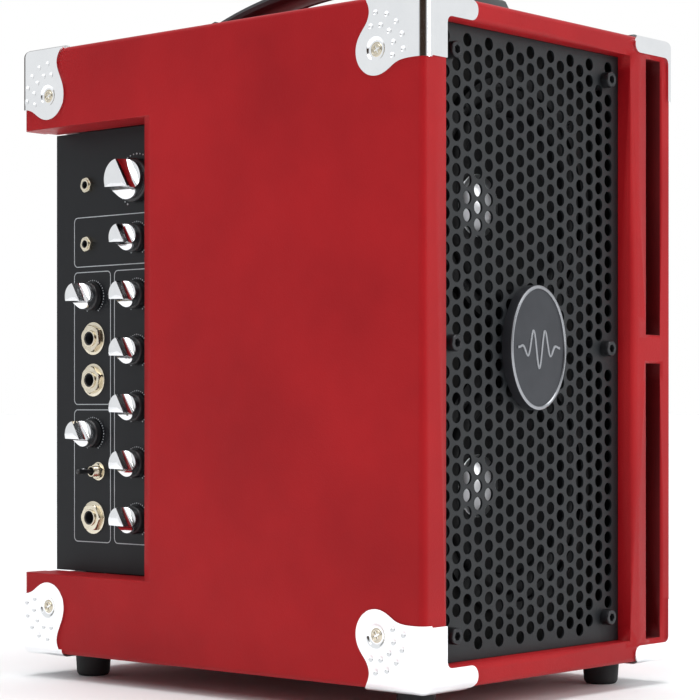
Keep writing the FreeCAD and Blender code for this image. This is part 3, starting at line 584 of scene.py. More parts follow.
def add_block(bm, low, high, bevel):
    """Add a box between two corners, its edges rounded."""
    verts = bmesh.ops.create_cube(bm, size=1.0)["verts"]
    matrix = Matrix.Translation((high + low) / 2) @ Matrix.Diagonal((*(high - low), 1.0))
    bmesh.ops.transform(bm, matrix=matrix, verts=verts)
    edges = list({edge for vert in verts for edge in vert.link_edges})
    bmesh.ops.bevel(bm, geom=edges, offset=bevel, segments=2, profile=0.5, affect="EDGES",
                    clamp_overlap=True, material=0)


def add_prism(bm, outline, matrix, low, high):
    """Add an upright prism over a flat outline of (x, y) metres, placed by a matrix."""
    base, top = [[bm.verts.new(matrix @ Vector((x, y, level))) for x, y in outline]
                 for level in (low, high)]
    bm.faces.new(base[::-1])
    bm.faces.new(top)
    bridge_rings(bm, base, top)


def solid_of(bm):
    """A scratch object from a bmesh, for booleans."""
    return add_object("scratch", mesh_of(bm, "scratch"))


def carved(base, *cutters, bevel=0.0, segments=2, angle=28.0):
    """The mesh of a scratch object with others cut out of it. The scratch objects are removed."""
    for cutter in cutters:
        step = base.modifiers.new("cut", "BOOLEAN")
        step.operation = "DIFFERENCE"
        step.solver = "EXACT"
        step.object = cutter
    if bevel:
        rounding = base.modifiers.new("round", "BEVEL")
        rounding.width = bevel
        rounding.segments = segments
        rounding.limit_method = "ANGLE"
        rounding.angle_limit = math.radians(angle)
        rounding.use_clamp_overlap = True
    bpy.context.view_layer.update()
    graph = bpy.context.evaluated_depsgraph_get()
    mesh = bpy.data.meshes.new_from_object(base.evaluated_get(graph))
    mesh.materials.clear()
    if not mesh.polygons:
        raise RuntimeError("nothing is left of a carved piece")
    for item in (base, *cutters):
        old = item.data
        bpy.data.objects.remove(item)
        bpy.data.meshes.remove(old)
    return mesh


def coat_node(name, material):
    """Give a CAD node its finish."""
    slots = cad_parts[name].data.materials
    slots.clear()
    slots.append(material)


def hexagon(radius, turn=0.0):
    """The corners of a six-sided outline."""
    return [(radius * math.cos(turn + math.pi * k / 3), radius * math.sin(turn + math.pi * k / 3))
            for k in range(6)]


# ------------------------------------------------------------------ cover and cabinet

def build_cover():
    """The leatherette cover, cut into a fine net so that it can rise and fall a little over the boards."""
    wave = settings()[0].wave
    bm = bmesh.new()
    bm.from_mesh(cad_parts["vinyl_cover"].data)
    bmesh.ops.remove_doubles(bm, verts=bm.verts, dist=MERGE)
    whole = list(bm.verts) + list(bm.edges) + list(bm.faces)
    bmesh.ops.bisect_plane(bm, geom=whole, plane_co=GRILLE_LOW, plane_no=REAR, dist=1e-7)
    slice_net(bm, 0.012)
    ripple(bm, wave)
    behind_grille = at(15, 8, 10), at(177, 23, 331)
    # Faces inside the port slots get the darker port vinyl: painted shade where the slots fall into shadow.
    painted_shade_in_ports = at(189, 0.5, 10), at(205, 60, 331)
    for face in bm.faces:
        spot = face.calc_center_median()
        for index, (low, high) in enumerate((behind_grille, painted_shade_in_ports), start=1):
            if all(low[n] < spot[n] < high[n] for n in range(3)):
                face.material_index = index
    skin = piece("cover_skin", bm, [leatherette(), black_wood(), port_shade_lining()], "cabinet",
                 ["vinyl_cover"], angle=50)
    even = skin.modifiers.new("even_shading", "WEIGHTED_NORMAL")
    even.keep_sharp = True


def slice_net(bm, step):
    """Cut a mesh by planes along all three axes, so that flat faces get inner points."""
    for axis in range(3):
        normal = Vector((0, 0, 0))
        normal[axis] = 1.0
        low, high = COVER_LOW[axis] + 0.008, COVER_HIGH[axis] - 0.008
        count = int((high - low) / step)
        for cut in range(count + 1):
            place = Vector((0, 0, 0))
            place[axis] = low + (high - low) * cut / count
            whole = list(bm.verts) + list(bm.edges) + list(bm.faces)
            bmesh.ops.bisect_plane(bm, geom=whole, plane_co=place, plane_no=normal, dist=1e-7)


def ripple(bm, wave):
    """Raise and sink the outer faces by slow noise, less near an edge."""
    bm.normal_update()
    moves = []
    for vert in bm.verts:
        gaps = [min(vert.co[axis] - COVER_LOW[axis], COVER_HIGH[axis] - vert.co[axis]) for axis in range(3)]
        nearest = sorted(gaps)
        if nearest[0] > 0.0001 or nearest[1] < 0.006:
            continue
        slow = noise.noise(vert.co * 24.0) + 0.5 * noise.noise(vert.co * 70.0 + Vector((3, 1, 7)))
        fade = min(1.0, (nearest[1] - 0.006) / 0.02)
        moves.append((vert, vert.normal * slow * wave * fade))
    for vert, move in moves:
        vert.co += move


def build_carcass():
    """Finishes of the boards and of everything inside that keeps its own CAD shape."""
    finishes = {
        black_wood: ("top_board", "bottom_board", "left_side_board", "right_side_board", "port_wall",
                     "port_bridge", "front_baffle", "bay_front_wall", "bay_inner_wall", "bay_end_walls"),
        powder_coat: ("grille",),
        black_plastic: ("grille_spacers",),
        panel_coat: ("control_panel",),
        zinc: ("chassis_tray", "potentiometers", "woofer_front_plates", "woofer_yokes"),
        solder_mask: ("control_board", "power_board"),
        laminations: ("transformer",),
        cast_coat: ("woofer_baskets",),
        ferrite: ("woofer_magnets",),
        spider_cloth: ("woofer_spiders",),
    }
    for material, nodes in finishes.items():
        for node in nodes:
            coat_node(node, material())


# ------------------------------------------------------------------ corner guards

# All in millimetres: the sheet and its outer bends, how far in and down the screws stand, and the
# length of each flange.
THICK = 1.2
UPRIGHT = 4.0 + THICK
LEVEL = 3.0 + THICK
SCREW_DOWN = 26.5
FRONT_SCREW_IN = 29.7
REAR_SCREW_IN = 22.0
ROOF_SCREW_IN = 29.0
ROOF_LOBE = 11.0
ROOF_LONG = 33.0
SIDE_DROP = 32.6
FACE_DROP = 31.8
FOOT_GAP = 17.0


def soft_min(first, second, reach):
    """The lesser of two distances, with a rounded join."""
    blend = max(reach - abs(first - second), 0.0) / reach
    return min(first, second) - blend * blend * reach / 4


def disc(u, v, centre, radius):
    """Distance outside a circle."""
    return math.hypot(u - centre[0], v - centre[1]) - radius


def flange_outline(across, down, screw, neck, root, lobe):
    """Distance outside a flange: a neck, a deep root along the corner and a lobe round the screw."""
    neck_gap = max(across - neck, down - screw[1])
    root_gap = max(across - screw[0], down - root)
    return soft_min(soft_min(neck_gap, disc(across, down, screw, lobe), 8.0), root_gap, 7.0)


def strip_outline(across, down, wide, tall, high, long):
    """Distance outside the front flange: an upright strip and a level one with a round end."""
    upright = max(across - wide, down - tall)
    end = high / 2
    level = max(abs(down - end) - end, across - (long - end)) if across < long - end else \
        disc(across, down, (long - end, end), end)
    return soft_min(upright, level, 4.0)


class Guard:
    """One kind of corner guard, in millimetres from the cabinet's sharp corner: a runs in from the
    side face, b in from the end face, c down from the top face or up from the bottom one."""

    def __init__(self, inward, lobe, neck, wide, high, long, over_foot):
        self.screw = (inward, SCREW_DOWN)
        self.roof_screw = (inward, ROOF_SCREW_IN)
        self.lobe = lobe
        self.neck = neck
        self.strip = (wide, FACE_DROP, high, long)
        self.over_foot = over_foot

    def place(self, u, v):
        """The surface point and its outward direction for an unrolled position."""
        if v <= 0:
            inset, down, lean = 0.0, LEVEL - THICK - v, 0.0
        elif v < LEVEL * QUARTER:
            lean = v / LEVEL
            inset = LEVEL * (1 - math.cos(lean))
            down = -THICK + LEVEL * (1 - math.sin(lean))
        else:
            lean = QUARTER
            inset = LEVEL + v - LEVEL * QUARTER
            down = -THICK
        half = UPRIGHT * math.pi / 4
        centre = UPRIGHT - THICK
        radius = max(UPRIGHT - inset, 0.0)
        corner = max(centre, inset - THICK)
        turn = max(-1.0, min(1.0, u / half)) * math.pi / 4
        b = corner - radius * math.cos(turn + math.pi / 4)
        a = corner - radius * math.cos(math.pi / 4 - turn)
        flat = abs(u) - half
        if flat > 0:
            along = max(centre + flat, corner)
            a, b = (inset - THICK, along) if u > 0 else (along, inset - THICK)
        level = math.cos(lean)
        normal = Vector((-math.cos(math.pi / 4 - turn) * level, -math.cos(turn + math.pi / 4) * level,
                         -math.sin(lean)))
        return Vector((a, b, down)), normal

    def outside(self, point):
        """Distance outside the guard's outline, over all three flanges."""
        a, b, c = point
        flare = 4.0 * max(0.0, 1 - max(c, 0.0) / 9) ** 2
        side = max(flange_outline(b, c, self.screw, self.neck + flare, SIDE_DROP, self.lobe), a - 5)
        face = max(strip_outline(a, c, *self.strip), b - 5)
        if self.over_foot:
            roof = max(min(a, b) - FOOT_GAP, max(a, b) - 2 * FOOT_GAP)
        else:
            roof = flange_outline(b, a, self.roof_screw, self.neck + 2.0, ROOF_LONG, ROOF_LOBE)
        return min(side, face, max(roof, c - 3))

    def pressed(self, point):
        """How far the surface is pressed in at a point: dimples in two arcs and a dish for each screw."""
        a, b, c = point
        if a < -THICK + 0.2:
            return self.pressing(b, c, self.screw)
        if c < -THICK + 0.2 and not self.over_foot:
            return self.pressing(b, a, self.roof_screw)
        return 0.0

    def pressing(self, inward, down, screw):
        """Dimples and dish on one flange."""
        depth = settings()[0].dimple / MM
        reach = disc(inward, down, screw, 0)
        total = 0.85 * smooth(1 - (reach - 4.6) / 1.6)
        for count, radius, first, step in ((5, 17.8, 90, -24), (5, 11.7, 105, -31.5)):
            for index in range(count):
                turn = math.radians(first + step * index)
                spot = (screw[0] - radius * math.cos(turn), screw[1] - radius * math.sin(turn))
                total += depth * smooth((1.55 - disc(inward, down, spot, 0)) / 0.8)
        return total


def smooth(value):
    """A soft step from 0 to 1."""
    value = max(0.0, min(1.0, value))
    return value * value * (3 - 2 * value)


def guard_net(guard, step):
    """The guard's outer skin as a net of points and quads, its rim drawn onto the outline."""
    columns = int(44 / step)
    rows_down, rows_up = int(40 / step), int(44 / step)
    spots = {}
    for i in range(-columns, columns + 1):
        for j in range(-rows_down, rows_up + 1):
            u, v = i * step, j * step
            spots[i, j] = [u, v, guard.outside(guard.place(u, v)[0])]
    quads = []
    for i in range(-columns, columns):
        for j in range(-rows_down, rows_up):
            corners = [(i, j), (i + 1, j), (i + 1, j + 1), (i, j + 1)]
            gaps = [spots[key][2] for key in corners]
            if sum(gaps) < 0.5 * step and max(gaps) < step:
                quads.append(corners)
    for key in {key for edge in open_edges(quads) for key in edge}:
        draw_to_outline(guard, spots[key], step)
    return spots, quads


def open_edges(quads):
    """The edges that only one quad uses."""
    count = {}
    for corners in quads:
        for ends in zip(corners, corners[1:] + corners[:1]):
            edge = frozenset(ends)
            count[edge] = count.get(edge, 0) + 1
    return [edge for edge, uses in count.items() if uses == 1]


def draw_to_outline(guard, spot, step):
    """Slide a rim point along the surface until it lies on the outline."""
    small = 0.05
    for _ in range(4):
        u, v = spot[0], spot[1]
        here = guard.outside(guard.place(u, v)[0])
        slope_u = (guard.outside(guard.place(u + small, v)[0]) - here) / small
        slope_v = (guard.outside(guard.place(u, v + small)[0]) - here) / small
        size = slope_u ** 2 + slope_v ** 2
        if size < 0.05:
            return
        move_u = max(-step, min(step, -here * slope_u / size))
        move_v = max(-step, min(step, -here * slope_v / size))
        spot[0], spot[1] = u + move_u, v + move_v


def add_guard(bm, guard, corner, signs):
    """Add one guard at a corner of the cabinet. signs point inwards along X, Y and Z."""
    spots, quads = guard_net(guard, 0.55)
    outer, inner = {}, {}
    used = {key for corners in quads for key in corners}
    for key in used:
        point, normal = guard.place(spots[key][0], spots[key][1])
        press = guard.pressed(point)
        for store, depth in ((outer, press), (inner, THICK - 0.05)):
            local = point - normal * depth
            world = corner + Vector([signs[n] * local[n] * MM for n in range(3)])
            store[key] = bm.verts.new(world)
    for corners in quads:
        make_face(bm, [outer[key] for key in corners])
        make_face(bm, [inner[key] for key in reversed(corners)])
    for start, end in open_edges(quads):
        make_face(bm, [outer[start], outer[end], inner[end], inner[start]])


def make_face(bm, verts):
    """Add a face unless its corners coincide."""
    unique = list(dict.fromkeys(verts))
    if len(unique) > 2 and bm.faces.get(unique) is None:
        bm.faces.new(unique)


def build_guards():
    """Eight pressed guards: the two left front ones have wide front strips, the others narrow ones."""
    front = (FRONT_SCREW_IN, 12.9, 33.4, 1)
    rear = (REAR_SCREW_IN, 13.4, 29.6, -1)
    names = {"front": ("front_corner_guards", [(1, 16.8, 11.0, 41.0), (-1, 5.0, 9.0, 37.0)], front),
             "rear": ("rear_corner_guards", [(1, 5.0, 9.0, 36.0), (-1, 5.0, 9.0, 36.0)], rear)}
    for end, (node, sides, (inward, lobe, neck, along)) in names.items():
        bm = bmesh.new()
        for across, wide, high, long in sides:
            for upward in (-1, 1):
                guard = Guard(inward, lobe, neck, wide, high, long, over_foot=upward > 0)
                corner = Vector((COVER_LOW.x if across > 0 else COVER_HIGH.x,
                                 COVER_LOW.y if along > 0 else COVER_HIGH.y,
                                 COVER_LOW.z if upward > 0 else COVER_HIGH.z))
                add_guard(bm, guard, corner, (across, along, upward))
        bmesh.ops.remove_doubles(bm, verts=bm.verts, dist=0.00001)
        bmesh.ops.dissolve_degenerate(bm, edges=bm.edges, dist=0.00001)
        piece("guards_" + end, bm, chrome(), "cabinet", [node], angle=55)


def cross_recess(arms, place, towards, size, deep):
    """Add the two arms of a cross recess in a screw head, each to its own cutter."""
    matrix = facing(place, towards)
    outline = [(-size, -size * 0.22), (size, -size * 0.22), (size, size * 0.22), (-size, size * 0.22)]
    for bm, turn in zip(arms, (0.4, 0.4 + QUARTER)):
        add_prism(bm, outline, matrix @ Matrix.Rotation(turn, 4, "Z"), -deep, 0.002)


def cross_screws(name, places, head, rise, node_name, material):
    """Domed cross-head screws at (place, direction) pairs. Sizes in millimetres."""
    heads = bmesh.new()
    arms = [bmesh.new(), bmesh.new()]
    dome = [(0, -2.0), (1.5, -2.0), (1.5, -0.6), (head, -0.55), (head, 0.1), (head * 0.86, rise * 0.75),
            (head * 0.74, rise * 0.85), (head * 0.69, rise * 0.3), (head * 0.62, rise * 0.9), (0, rise)]
    for place, towards in places:
        add_turned(heads, dome, place, towards, 40, closed=False)
        cross_recess(arms, place + Vector(towards) * rise * MM, towards, head * 0.5 * MM, 1.1 * MM)
    mesh = carved(solid_of(heads), *[solid_of(arm) for arm in arms], bevel=0.00012, segments=2, angle=40)
    return dress(mesh, name, material, "cabinet", [node_name], 30)


def build_corner_screws():
    """The cross-head screws in the guards' dishes."""
    places = []
    for end, inward in ((1, FRONT_SCREW_IN), (-1, REAR_SCREW_IN)):
        y = (COVER_LOW if end > 0 else COVER_HIGH).y + end * inward * MM
        for x, outward in ((COVER_LOW.x, -1), (COVER_HIGH.x, 1)):
            for z, up in ((COVER_LOW.z, 1), (COVER_HIGH.z, -1)):
                places.append((Vector((x, y, z + up * SCREW_DOWN * MM)), Vector((outward, 0, 0))))
            places.append((Vector((x - outward * ROOF_SCREW_IN * MM, y, COVER_HIGH.z)), UP))
    cross_screws("guard_screw_heads", places, 4.0, 0.7, "corner_screws", nickel_bright())


def nickel_bright():
    """Slightly yellow nickel of the guard screws."""
    return finish("bright_nickel", (0.66, 0.60, 0.47), (0.46, 0.40, 0.30), 0.2, 1.0,
                  drift=(240.0, 0.5), handling=(0.12, 300.0), grain=(1500.0, 4000.0, 0.000006))


# ------------------------------------------------------------------ handle and feet

STRAP_ARCH = 0.2668
STRAP_HALF = 0.00325
BRACKET_REACH = 0.020
HANDLE_SCREW = 0.0046


def strap_line(t):
    """A point of the strap's middle line: t runs 0 to 1 from the front bracket to the rear one."""
    low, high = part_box("handle_strap")
    centre = high.z - STRAP_HALF - STRAP_ARCH
    y = low.y + (high.y - low.y) * t
    return Vector((0, y, centre + math.sqrt(STRAP_ARCH ** 2 - (y - (low.y + high.y) / 2) ** 2)))


def build_handle():
    """The strap: a flat band with rolled edges and a raised, finely ribbed grip pad underneath and on top."""
    low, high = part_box("handle_strap")
    half = (high.x - low.x) / 2
    profile = [(-half, 0.0), (-half + 0.0010, 0.0021), (-half + 0.0032, 0.0029), (-half + 0.0042, 0.0022),
               (-half + 0.0052, 0.0022), (-half + 0.0064, 0.0030), (-0.002, 0.0031)]
    profile += [(-x, z) for x, z in reversed(profile[1:])] + [(half, 0.0)]
    profile += [(x, -z) for x, z in reversed(profile[1:-1])]
    steps = 90
    bm = bmesh.new()
    rings = []
    for step in range(steps + 1):
        t = step / steps
        place = strap_line(t)
        ahead = (strap_line(min(t + 0.005, 1)) - strap_line(max(t - 0.005, 0))).normalized()
        lift = ahead.cross(Vector((1, 0, 0))) * -1
        rib = 0.00018 * (step % 2) if 0.22 < t < 0.78 else 0.0
        ring = []
        for x, z in profile:
            swell = rib if abs(x) < half * 0.62 else 0.0
            ring.append(bm.verts.new(place + Vector((x, 0, 0)) + lift * (z - math.copysign(swell, z))))
        rings.append(ring)
    join_rings(bm, rings, ends=True)
    piece("grip_strap", bm, strap_vinyl(), "cabinet", ["handle_strap"], angle=40)
    build_brackets()


def build_brackets():
    """The moulded end brackets, each with a sloped body and a well for its screw."""
    low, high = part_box("handle_brackets")
    screw_low, screw_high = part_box("handle_screws")
    bodies, cutter = bmesh.new(), bmesh.new()
    matrix = Matrix(((0, 0, 1, 0), (1, 0, 0, 0), (0, 1, 0, 0), (0, 0, 0, 1)))
    heads = []
    for outer, inner, screw in ((low.y, low.y + BRACKET_REACH, screw_low.y + HANDLE_SCREW),
                                (high.y, high.y - BRACKET_REACH, screw_high.y - HANDLE_SCREW)):
        add_prism(bodies, bracket_side(outer, inner, low.z, high.z), matrix, low.x, high.x)
        well = Vector((0, screw, screw_high.z - 0.0087))
        add_turned(cutter, [(0, 0), (5.0, 0), (5.3, 6), (0, 6)], well, UP, 40, closed=False)
        heads.append((Vector((0, screw, screw_high.z - 0.0082)), UP))
    mesh = carved(solid_of(bodies), solid_of(cutter), bevel=0.0016, segments=4, angle=25)
    dress(mesh, "handle_ends", black_plastic(), "cabinet", ["handle_brackets"], 35)
    cross_screws("handle_screw_heads", heads, 4.4, 1.6, "handle_screws", black_oxide())


def bracket_side(outer, inner, low, high):
    """The bracket seen from the side: low at its outer end, rising to meet the strap."""
    points = [(outer, low), (outer, high - 0.014)]
    for step in range(1, 7):
        t = step / 6
        points.append((outer + (inner - outer) * t, high - 0.001 - 0.009 * (1 - t) ** 1.3))
    points.append((inner, low))
    return points


def build_feet():
    """Tapered rubber feet with a rounded rim and a dished underside, each round its screw."""
    low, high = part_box("rubber_feet")
    radius = 10.2
    tall = (high.z - low.z) / MM
    bm = bmesh.new()
    outline = soften([(3.2, 0), (radius, 0), (radius - 0.2, -2.2), (radius - 0.9, -tall + 1.8),
                      (radius - 2.2, -tall), (6.2, -tall), (5.2, -tall + 1.2), (5.2, -5), (3.2, -5)], 0.8, 4)
    screws = bmesh.new()
    head = soften([(0.01, -5.2), (4.6, -5.2), (4.6, -7.0), (3.4, -7.6), (0.01, -7.6)], 0.4, 3)
    for x in (low.x + radius * MM, high.x - radius * MM):
        for y in (low.y + radius * MM, high.y - radius * MM):
            place = Vector((x, y, high.z))
            add_turned(bm, outline, place, UP, 56)
            add_turned(screws, head, place, UP, 32)
    piece("feet_rubber", bm, rubber(), "cabinet", ["rubber_feet"], angle=40)
    piece("feet_screws", screws, zinc(), "cabinet", ["foot_screws"], angle=30)


# ------------------------------------------------------------------ front

BOLT_RADIUS = 4.25


def bolt_places():
    """Where the grille screws stand, from the CAD node's box."""
    low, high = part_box("grille_screws")
    radius = BOLT_RADIUS * MM
    xs = (low.x + radius, high.x - radius)
    zs = (low.z + radius, (low.z + high.z) / 2, high.z - radius)
    return [Vector((x, GRILLE_LOW.y, z)) for x in xs for z in zs]


def build_bolts():
    """Socket-cap screws with chamfered, finely knurled heads and six-sided sockets."""
    bodies, cutters = bmesh.new(), bmesh.new()
    for index, place in enumerate(bolt_places()):
        knurled_head(bodies, place, BOLT_RADIUS, 5.0)
        add_turned(bodies, [(0, -28), (2.45, -28), (2.45, 0.1), (0, 0.1)], place, FRONT, 24, closed=False)
        matrix = facing(place + FRONT * 2.2 * MM, FRONT)
        add_prism(cutters, [(x * MM, y * MM) for x, y in hexagon(2.31, 0.3 * index)], matrix, 0, 0.006)
    mesh = carved(solid_of(bodies), solid_of(cutters), bevel=0.00012, segments=2, angle=50)
    dress(mesh, "grille_bolts", black_oxide(), "cabinet", ["grille_screws"], 30)


def knurled_head(bm, place, radius, tall):
    """A cylinder head with small flutes round its side and a chamfered top."""
    matrix = facing(place, FRONT)
    rings = []
    for height, share in ((0.0, 0.965), (0.25, 1.0), (tall - 0.9, 1.0), (tall - 0.75, 0.965),
                          (tall - 0.35, 0.95), (tall, 0.88)):
        flute = 0.17 if 0.2 < height < tall - 0.8 else 0.0
        rings.append(add_ring(bm, matrix, [radius * share, radius * share - flute] * 30, height))
    join_rings(bm, rings)
    bm.faces.new(rings[0][::-1])
    bm.faces.new(rings[-1])


def build_badge():
    """The oval badge: a domed plate, a bright raised rim and a plain wave line across its middle."""
    low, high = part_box("grille_badge")
    centre = (low + high) / 2
    wide, tall = (high.x - low.x) / 2, (high.z - low.z) / 2
    deep = high.y - low.y
    levels = [(1.0, 0.0), (1.0, 0.80), (0.99, 0.93), (0.965, 1.0), (0.93, 1.0), (0.915, 0.93), (0.905, 0.86)]
    bm = bmesh.new()
    rings = []
    for share, height in levels:
        rings.append(oval_ring(bm, centre, wide - (1 - share) * wide, tall - (1 - share) * wide,
                               high.y - deep * height))
    for number, (first, second) in enumerate(zip(rings, rings[1:])):
        bridge_rings(bm, first, second, index=1 if 2 <= number <= 4 else 0)
    inner = rings[-1]
    for step in range(1, 9):
        share = 1 - step / 9
        rise = 0.86 + 0.06 * (1 - share ** 2)
        ring = oval_ring(bm, centre, wide * 0.905 * share, (tall - wide * 0.095) * share,
                         high.y - deep * rise)
        bridge_rings(bm, inner, ring)
        inner = ring
    bm.faces.new(inner)
    bm.faces.new(list(reversed(rings[0])))
    piece("badge_plate", bm, [badge_metal(), badge_bright()], "cabinet", ["grille_badge"], 30)
    badge_wave(centre, wide, high.y - deep * 0.915)


def oval_ring(bm, centre, wide, tall, y, count=96):
    """A ring of points round an oval that stands upright."""
    return [bm.verts.new(Vector((centre.x + math.cos(2 * math.pi * k / count) * wide, y,
                                 centre.z + math.sin(2 * math.pi * k / count) * tall))) for k in range(count)]


def badge_wave(centre, wide, y):
    """A raised wave packet, one ribbon that swells and dies away."""
    bm = bmesh.new()
    count, half, height = 120, 0.00075, 0.0105
    long, waves = wide * 1.5, math.pi * 7
    profile = [(-1, 0.0004), (-0.8, -0.0003), (0.8, -0.0003), (1, 0.0004)]
    rings = []
    for step in range(count + 1):
        t = step / count
        swell = height * math.sin(math.pi * t) ** 2
        lean = Vector((-math.cos(t * waves) * swell * waves / long, 0, 1)).normalized()
        spot = Vector((centre.x + (t - 0.5) * long, y, centre.z + math.sin(t * waves) * swell))
        rings.append([bm.verts.new(spot + lean * half * side + Vector((0, rise, 0)))
                      for side, rise in profile])
    join_rings(bm, rings, ends=True)
    piece("badge_wave", bm, badge_bright(), "cabinet", angle=40)


def driver_place(name):
    """The middle of a driver on the baffle's front face."""
    centre = middle(name + "_cone")
    return Vector((centre.x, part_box("front_baffle")[0].y, centre.z))


def build_drivers():
    """Cones, surrounds, dust caps and flange screws, smooth and at the frame's sizes."""
    roll = bmesh.new()
    for name in ("lower", "upper"):
        place = driver_place(name)
        body = name + "_driver"
        build_cone(name, place, body)
        build_dust_cap(name, place, body)
        outer, inner = [[(51 + wide * math.cos(math.pi * k / 14), -1 - deep * math.sin(math.pi * k / 14))
                         for k in range(15)] for wide, deep in ((4.6, 4.4), (3.9, 3.7))]
        ring = [(59.6, -1.0), (59.6, -1.8), (56.6, -1.8), *outer, (45.4, 1.0), (46.2, 1.2), *inner[::-1]]
        add_turned(roll, ring, place, REAR, 96)
    piece("surround_rolls", roll, butyl(), "cabinet", ["woofer_surrounds"], angle=50)
    build_flange_screws()


def build_cone(name, place, body):
    """A slightly flared paper cone with two pressed rings, and its voice coil former."""
    neck, rim = 13.2, 45.0
    front = []
    for step in range(25):
        t = step / 24
        radius = neck + (rim - neck) * t
        straight = 1.2 + (rim - radius) * 0.69
        flare = 1.2 * math.sin(math.pi * t)
        ring = 0.35 * (smooth(1 - abs(radius - 27) / 1.2) + smooth(1 - abs(radius - 36) / 1.2))
        front.append((radius, straight - flare * 0.4 - ring))
    back = [(radius, height + 0.7) for radius, height in front]
    bm = bmesh.new()
    add_turned(bm, front + back[::-1], place, REAR, 96)
    add_turned(bm, [(12.5, 24), (13.05, 24), (13.05, 54), (12.5, 54)], place, REAR, 48)
    piece(name + "_cone_skin", bm, cone_paper(), body, [name + "_cone"], angle=40)


def build_dust_cap(name, place, body):
    """A spun alloy dome with a rolled rim."""
    low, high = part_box(name + "_dust_cap")
    radius = (high.x - low.x) / 2 / MM - 0.35
    rim = (high.y - place.y) / MM - 0.55
    rise = rim - (low.y - place.y) / MM
    edge = 1.25
    dome = [(radius * math.sin(edge * k / 16) / math.sin(edge),
             rim - rise * (math.cos(edge * k / 16) - math.cos(edge)) / (1 - math.cos(edge)))
            for k in range(17)]
    back = [(r * 0.965, h + 0.45) for r, h in reversed(dome)]
    bm = bmesh.new()
    add_turned(bm, dome + [(radius + 0.35, rim + 0.1), (radius + 0.3, rim + 0.5)] + back, place, REAR, 96,
               closed=False)
    piece(name + "_dome", bm, alloy(), body, [name + "_dust_cap"], angle=50)


def build_flange_screws():
    """Pan-head cross screws round the driver flanges."""
    reach = 63 * 0.7071 * MM
    places = [(Vector((centre.x + x, centre.y - 4 * MM, centre.z + z)), FRONT)
              for centre in map(driver_place, ("lower", "upper"))
              for x in (-reach, reach) for z in (-reach, reach)]
    cross_screws("flange_screw_heads", places, 2.8, 1.9, "woofer_screws", black_oxide())


# ------------------------------------------------------------------ control panel

KNOB_TURN = math.radians(330)
CAP_SHARE = 0.9
SCOOP_DEEP = 7.2
WEDGE_HALF = 28.5


def knob_sizes(name):
    """Radius, height and axis place of a knob, in metres, from its CAD node."""
    low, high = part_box(name)
    return (high.z - low.z) / 2, PANEL_LOW.x - low.x, Vector((PANEL_LOW.x, *middle(name).yz))


def build_knob(name):
    """A knob: black skirt with a chromed cap. Two scoops leave a pointer ridge across the cap's end."""
    radius, tall, place = knob_sizes(name)
    body = name.replace("_knob", "_control")
    r, h = radius / MM, tall / MM
    skirt = bmesh.new()
    shaft = [(3.0, 5.4), (3.0, 0.2), (r * 0.97, 0.2), (r, 0.6), (r, 3.6), (r * 0.93, 4.5), (r * 0.5, 4.7),
             (r * 0.5, 5.4)]
    add_turned(skirt, soften(shaft, 0.25), place, LEFT, 64)
    add_turned(skirt, [(0, -5.4), (2.95, -5.4), (2.95, 5.2), (0, 5.2)], place, LEFT, 32, closed=False)
    piece(name + "_skirt", skirt, black_plastic(), body, angle=40)
    scoops = [solid_of(knob_scoop(r * CAP_SHARE, h, place, side)) for side in (-1, 1)]
    cap = solid_of(knob_cap(r * CAP_SHARE, h, place))
    mesh = carved(cap, *scoops, bevel=0.0002, segments=3, angle=30)
    dress(mesh, name + "_cap", knob_chrome(), body, [name], 40)


def knob_cap(r, h, place):
    """The cap before it is scooped: a cylinder with a flat end and a soft rim."""
    bm = bmesh.new()
    outline = [(0, 4.5), (r - 0.3, 4.5), (r, 4.8), (r, h - 0.45), (r - 0.15, h - 0.12), (r - 0.5, h), (0, h)]
    add_turned(bm, outline, place, LEFT, 96, closed=False)
    return bm


def knob_scoop(r, h, place, side):
    """The cutter for one side of the wedge pointer: a short upright wall, then a hollow sweep to the rim."""
    bm = bmesh.new()
    base = facing(place, LEFT) @ Matrix.Rotation(KNOB_TURN, 4, "Z")
    stand = Matrix(((1, 0, 0, 0), (0, 0, -1, 0), (0, 1, 0, 0), (0, 0, 0, 1)))
    sweep = 0.6 * r
    centre = h - SCOOP_DEEP + sweep
    outline = [(0.4 * r, h + 2)]
    for step in range(25):
        turn = math.pi + QUARTER * step / 24
        outline.append((r + sweep * math.cos(turn), centre + sweep * math.sin(turn)))
    outline += [(r + 4, h - SCOOP_DEEP), (r + 4, h + 2)]
    matrix = base @ Matrix.Rotation(math.radians((90 - WEDGE_HALF) * side), 4, "Z") @ stand
    add_prism(bm, [(x * MM, y * MM) for x, y in outline], matrix, -2 * r * MM, 2 * r * MM)
    return bm


def jack_places():
    """Where the quarter-inch sockets come through the panel."""
    return [at(23, 261.1, z) for z in (76.0, 153.9, 177.4)]


def build_jacks():
    """Sockets with a nickel nut, a washer and a dark bore that a plug's shank passes through."""
    metal, insert = bmesh.new(), bmesh.new()
    for index, place in enumerate(jack_places()):
        hex_nut(metal, place, 8.0, 0.6, 3.0, 4.75, 0.35 * index)
        add_turned(metal, soften([(4.6, 0), (9.3, 0), (9.3, 0.55), (4.6, 0.55)], 0.15), place, LEFT, 48)
        add_turned(metal, soften([(3.9, -4), (4.7, -4), (4.7, 3.9), (3.9, 3.9)], 0.2), place, LEFT, 48)
        bore = soften([(3.25, -25), (3.95, -25), (3.95, 3.5), (3.25, 3.5)], 0.15)
        add_turned(insert, bore, place, LEFT, 48)
    piece("jack_nuts", metal, nickel(), "cabinet", angle=30)
    add_jack_bodies(insert)
    piece("jack_inserts", insert, black_plastic(), "cabinet", ["quarter_inch_jacks"],
          angle=30)


